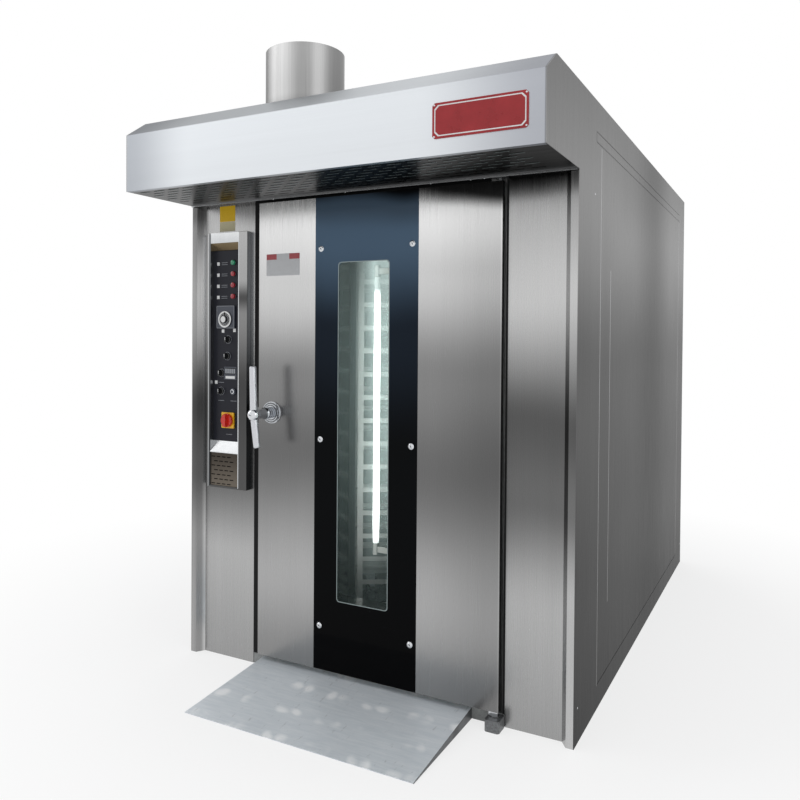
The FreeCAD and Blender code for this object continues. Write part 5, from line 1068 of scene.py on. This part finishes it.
@dataclass
class ControlColumn:
    """Bezel, black fascia and all the instruments."""

    left: float = -0.7535  # bezel's left edge
    right: float = -0.545  # bezel's right edge
    low: float = 0.720  # bezel's lower edge
    high: float = 1.795  # bezel's upper edge
    strip: float = 1.752  # lower edge of its bright top strip
    middle: float = 0.872  # upper edge of its middle bar
    foot: float = 0.728  # upper edge of its foot
    inner: tuple[float, float] = (-0.7405, -0.590)  # fascia's left and right edges
    face: float = FRONT + 0.008  # depth place of the bezel's face
    back: float = FRONT + 0.033  # depth place of the bezel's back
    plate: float = FRONT + 0.030  # depth place of the fascia's face
    case: float = FRONT + 0.030 - 0.008  # depth place of the timer case's face
    # heights of the four legends beside the pilot lamps
    rows: tuple[float, ...] = (1.6670, 1.6195, 1.5720, 1.5250)

    def build(self) -> None:
        """Dress the column's nodes and add its own details."""
        paint({
            "powder_coated_fascia": "control_fascia", "vent_sheet": "vent_plate",
            "polycarbonate_red_lens": "indicator_lamps", "abs_case_grey": "panel_instruments",
            "moulded_yellow": "switch_plate", "moulded_red": "main_switch_knob",
            "polished_nickel": "push_button",
            "abs_black": "timer_dial selector_knob_a selector_knob_b selector_knob_c selector_knob_d"})
        self.bezel()
        self.pilots()
        self.timer()
        self.knobs()
        self.counter()
        self.legends()

    def bezel(self) -> None:
        """Folded sheet surround: two flanges, top strip and returns, and the foot, in tones of painted
        highlight, painted reflection and painted shade, with a block of painted shade behind the vent and
        painted edge lines.
        """
        a, b = self.inner
        face, back, thin = self.face, self.back, self.back - 0.0006
        pieces = [
            bevelled(bar_up(f"bezel_{name}", finish, box(x, (face, back)), self.low, self.high), 0.0016, 3)
            for name, finish, x in (("right_flange", "bezel_flange", (b, self.right)),
                                    ("left_flange", "bezel_left_fold", (self.left, a)))]
        # painted highlight on the top strip, low return and middle bar; painted shade with a brown
        # reflection on the top return; a block of painted shade behind the vent
        pieces += [bar_across(f"bezel_{name}", finish, profile, a, b) for name, finish, profile in (
            ("top_strip", "bezel_bright", box((face, back), (self.strip, self.high))),
            ("top_return", "bezel_brown", [
                (face, self.strip), (back, self.strip), (back, self.strip - 0.03),
                (thin, self.strip - 0.03)]),
            ("low_return", "bezel_bright", [
                (face, self.middle), (thin, self.middle + 0.045), (back, self.middle + 0.045),
                (back, self.middle)]),
            ("middle_bar", "bezel_bright", box((face, back), (self.middle - 0.004, self.middle))),
            ("foot", "bezel_flange", box((face, back), (self.low, self.foot))),
            ("vent_shade_block", "dark_recess", box((face + 0.006, back), (self.foot, self.middle - 0.004))))]
        bevelled(pieces[2], 0.0010)
        for thing in pieces:
            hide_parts("control_bezel")
        # thin edge lines: a painted highlight on the right inner edge, painted shade on the left inner and
        # outer edges
        lip = (face - 0.0004, face + 0.002)
        for name, finish, x, y, gap in (
                ("right_inner", "bezel_bright", (b - 0.0004, b + 0.0030), lip, 0.004),
                ("left_inner", "bezel_edge_dark", (a - 0.0030, a + 0.0004), lip, 0.004),
                ("outer", "bezel_edge_dark", (self.right - 0.0016, self.right + 0.0003),
                 (face + 0.003, back - 0.001), 0.003)):
            bar_up(f"bezel_{name}_line", finish, box(x, y), self.low + gap, self.high - gap)

    def pilots(self) -> None:
        """Four faceted lenses with dark collars: the top one green, the others red."""
        lens = turned([(0.0090, 0.0), (0.0106, 0.0025), (0.0106, 0.0070), (0.0094, 0.0098), (0.0060, 0.0118),
                       (0.0024, 0.0120)], 24)
        collar = turned([(0.0122, 0.0), (0.0122, 0.0018), (0.0112, 0.0026), (0.0100, 0.0026)], 24)
        for row, (colour, z) in enumerate((
                ("green", 1.670), ("red", 1.6227), ("red", 1.5754), ("red", 1.5281))):
            spot = facing_front(-0.633, self.plate, z)
            for thing in (piece(f"pilot_lens_{row}", f"polycarbonate_{colour}_lens", lens, spot),
                          piece(f"pilot_collar_{row}", "abs_black", collar, spot)):
                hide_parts("indicator_lamps")

    def timer(self) -> None:
        """Pale ring and ticks on the dial, a pale hub cap, and an edge line on the case."""
        x, z, middle = -0.671, 1.431, 0.0235
        disc = self.case - 0.0049
        for name, finish, outer, inner in (("ring", "print_white", 0.0345, 0.0275),
                                           ("inner_ring", "print_grey", 0.0185, 0.0165)):
            piece(f"timer_{name}", finish, washer(outer, inner, 0.0004), facing_front(x, disc, z),
                  "timer_dial")
        ticks = [frame_at((x + middle * math.sin(turn), disc, z + middle * math.cos(turn)),
                          (0, -1, 0), (math.sin(turn), 0, math.cos(turn)))
                 for turn in (k * math.tau / 24 for k in range(24))]
        piece("timer_ticks", "print_white", tile(0.0011, 0.0050, 0.0004), ticks, "timer_dial")
        piece("timer_hub_cap", "print_white", turned(
            [(0.0125, 0.0), (0.0128, 0.0008), (0.0118, 0.0016), (0.0060, 0.0020)], 32),
            facing_front(x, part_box("timer_dial")[0].y, z), "timer_dial")
        line = band(rounded(0.094, 0.094, 0.004), rounded(0.091, 0.091, 0.003), 0.0004)
        piece("timer_case_line", "print_grey", line, facing_front(x, self.case, z + 0.010))

    def knobs(self) -> None:
        """White pointer lines on the black knobs, a ring behind each, and the push button's cap."""
        for letter, x, z in (("a", -0.662, 1.346), ("b", -0.666, 1.276), ("c", -0.697, 1.204),
                             ("d", -0.699, 1.127)):
            piece(f"knob_{letter}_pointer", "print_white", tile(0.0018, 0.0120, 0.0005),
                  facing_front(x, self.plate - 0.0210, z + 0.0035), f"selector_knob_{letter}")
            piece(f"knob_{letter}_scale", "print_grey", washer(0.0175, 0.0163, 0.0003, 32),
                  facing_front(x, self.plate, z))
        piece("button_cap", "abs_case_grey", turned([(0.0062, 0.0), (0.0062, 0.0006), (0.0050, 0.0010)], 24),
              facing_front(-0.632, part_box("push_button")[0].y, 1.127), "push_button")

    def counter(self) -> None:
        """Counter's window, dark as painted shade in its recess, with five plain wheels, and its pale strip.
        """
        x, z, face = -0.646, 1.204, self.plate - 0.005
        piece("counter_window", "dark_recess", label(0.058, 0.026, 0.002), facing_front(x, face, z + 0.009))
        wheels = [facing_front(x - 0.0224 + 0.0112 * k, face - 0.0004, z + 0.009) for k in range(5)]
        piece("counter_wheels", "print_grey", tile(0.0088, 0.0200, 0.0004), wheels)
        piece("counter_strip", "print_white", label(0.050, 0.011, 0.001), facing_front(x, face, z - 0.0175))

    def legends(self) -> None:
        """Bare label squares and short plain lines beside the instruments."""
        squares = [*((-0.7165, z) for z in self.rows), (-0.690, 1.382), (-0.628, 1.385), (-0.7265, 1.164)]
        lines = [*((-0.683, z + lift) for z in self.rows for lift in (0.004, -0.004)),
                 (-0.700, 1.164), (-0.699, 1.087), (-0.632, 1.087), (-0.655, 0.945), (-0.655, 1.412)]
        for name, finish, shape, spots in (
                ("squares", "print_white", tile(0.0140, 0.0140, 0.0003), squares),
                ("lines", "print_grey", tile(0.0320, 0.0016, 0.0003), lines)):
            piece(f"legend_{name}", finish, shape, [facing_front(x, self.plate, z) for x, z in spots])


# ---------------------------------------------------------------- studio

@dataclass
class Studio:
    """Pale floor, soft lamps and the camera at the photograph's angle."""

    eye: tuple[float, float, float] = (1.4885, -3.4979, 1.3523)  # camera's place
    yaw: float = -27.867  # degrees that it turns from +Y toward +X
    pitch: float = -0.812  # degrees that it looks upward
    roll: float = 0.402  # degrees that it leans
    focal_share: float = 762.93 / 800  # focal length over the picture's width
    shift: float = -0.0624  # vertical shift that the photograph's framing needs
    floor_half: float = 30.0  # half the floor's side in metres

    def build(self) -> None:
        """Set up the camera, the floor, the lamps and the world."""
        self.camera()
        self.floor()
        self.lamps()
        self.world()
        bpy.context.scene.view_settings.view_transform = "Standard"

    def camera(self) -> None:
        """Place the camera from its angles: forward from yaw and pitch, then a small roll."""
        yaw, pitch, roll = (math.radians(value) for value in (self.yaw, self.pitch, self.roll))
        forward = Vector((math.sin(yaw) * math.cos(pitch), math.cos(yaw) * math.cos(pitch), math.sin(pitch)))
        right = Vector((math.cos(yaw), -math.sin(yaw), 0))
        upward = right.cross(forward)
        tilted = right * math.cos(roll) + upward * math.sin(roll)
        raised = -right * math.sin(roll) + upward * math.cos(roll)
        data = bpy.data.cameras.new("camera")
        data.sensor_width = 36.0
        data.lens = data.sensor_width * self.focal_share
        data.shift_y = self.shift
        turn = Matrix((tilted, raised, -forward)).transposed().to_4x4()
        turn.translation = Vector(self.eye)
        thing = linked("camera", data)
        thing.matrix_world = turn
        bpy.context.scene.camera = thing

    def floor(self) -> None:
        """Lay a pale paper floor that runs out into white and keeps the oven's shadow."""
        half = self.floor_half
        mesh = bpy.data.meshes.new("studio_floor")
        mesh.from_pydata([(x, y, 0) for x, y in box((-half, half), (-half, half))], [], [(0, 1, 2, 3)])
        tree = Recipe("studio_floor_paper")
        tree.set(Base_Color=linear("f2f2f2"), Roughness=0.9, Specular_IOR_Level=0.0)
        glow = tree.add("ShaderNodeEmission", None, Strength=1.0)
        away = tree.add("ShaderNodeVectorMath", {"operation": "LENGTH"}, _0=tree.point())
        fade = tree.spread(away.outputs["Value"], 0.72, 1.0, 1.5, 3.0)
        mixed = tree.add("ShaderNodeMixShader", None, _0=tree.sum(tree.looked_at(), fade, "MULTIPLY"),
                         _1=tree.shader.outputs[0], _2=glow.outputs[0])
        tree.feed(tree.output, Surface=mixed.outputs[0])
        mesh.materials.append(tree.owner)
        linked("studio_floor", mesh)

    def lamps(self) -> None:
        """Hang soft area lamps: a broad key from the left, a fill from the right and a top light."""
        for name, place, aim, size, power in (
                ("key_lamp", (-6.6, -2.4, 4.6), (0, -0.6, 1.2), 4.0, 75.0),
                ("fill_lamp", (6.0, -3.0, 3.0), (0.6, 0.2, 1.1), 3.5, 30.0),
                ("top_lamp", (0.0, 0.0, 6.0), (0.0, 0.2, 1.0), 5.0, 55.0)):
            data = bpy.data.lights.new(name, "AREA")
            data.energy = power
            data.size = size
            thing = linked(name, data)
            thing.location = place
            direction = Vector(aim) - Vector(place)
            thing.rotation_euler = direction.to_track_quat("-Z", "Y").to_euler()

    def world(self) -> None:
        """Light the room softly, and show white where the camera, metal and glass look past the oven."""
        tree = Tree(bpy.data.worlds.new("studio"))
        bpy.context.scene.world = tree.owner
        light = tree.add("ShaderNodeBackground", None, Color=linear("f6f7f8"), Strength=0.80)
        white = tree.add("ShaderNodeBackground", None, Color=linear("ff"), Strength=1.0)
        mixed = tree.add("ShaderNodeMixShader", None, _0=tree.looked_at(), _1=light.outputs[0],
                         _2=white.outputs[0])
        tree.add("ShaderNodeOutputWorld", None, Surface=mixed.outputs[0])


def main() -> None:
    """Build the studio and every sub-assembly in order."""
    logging.basicConfig(level=logging.INFO, format="%(name)s: %(message)s")
    Studio().build()
    for part in (Cabinet(), Rack(), Door(), ControlColumn()):
        part.build()
        LOG.info("%s done", type(part).__name__)


if __name__ == "__main__":
    main()
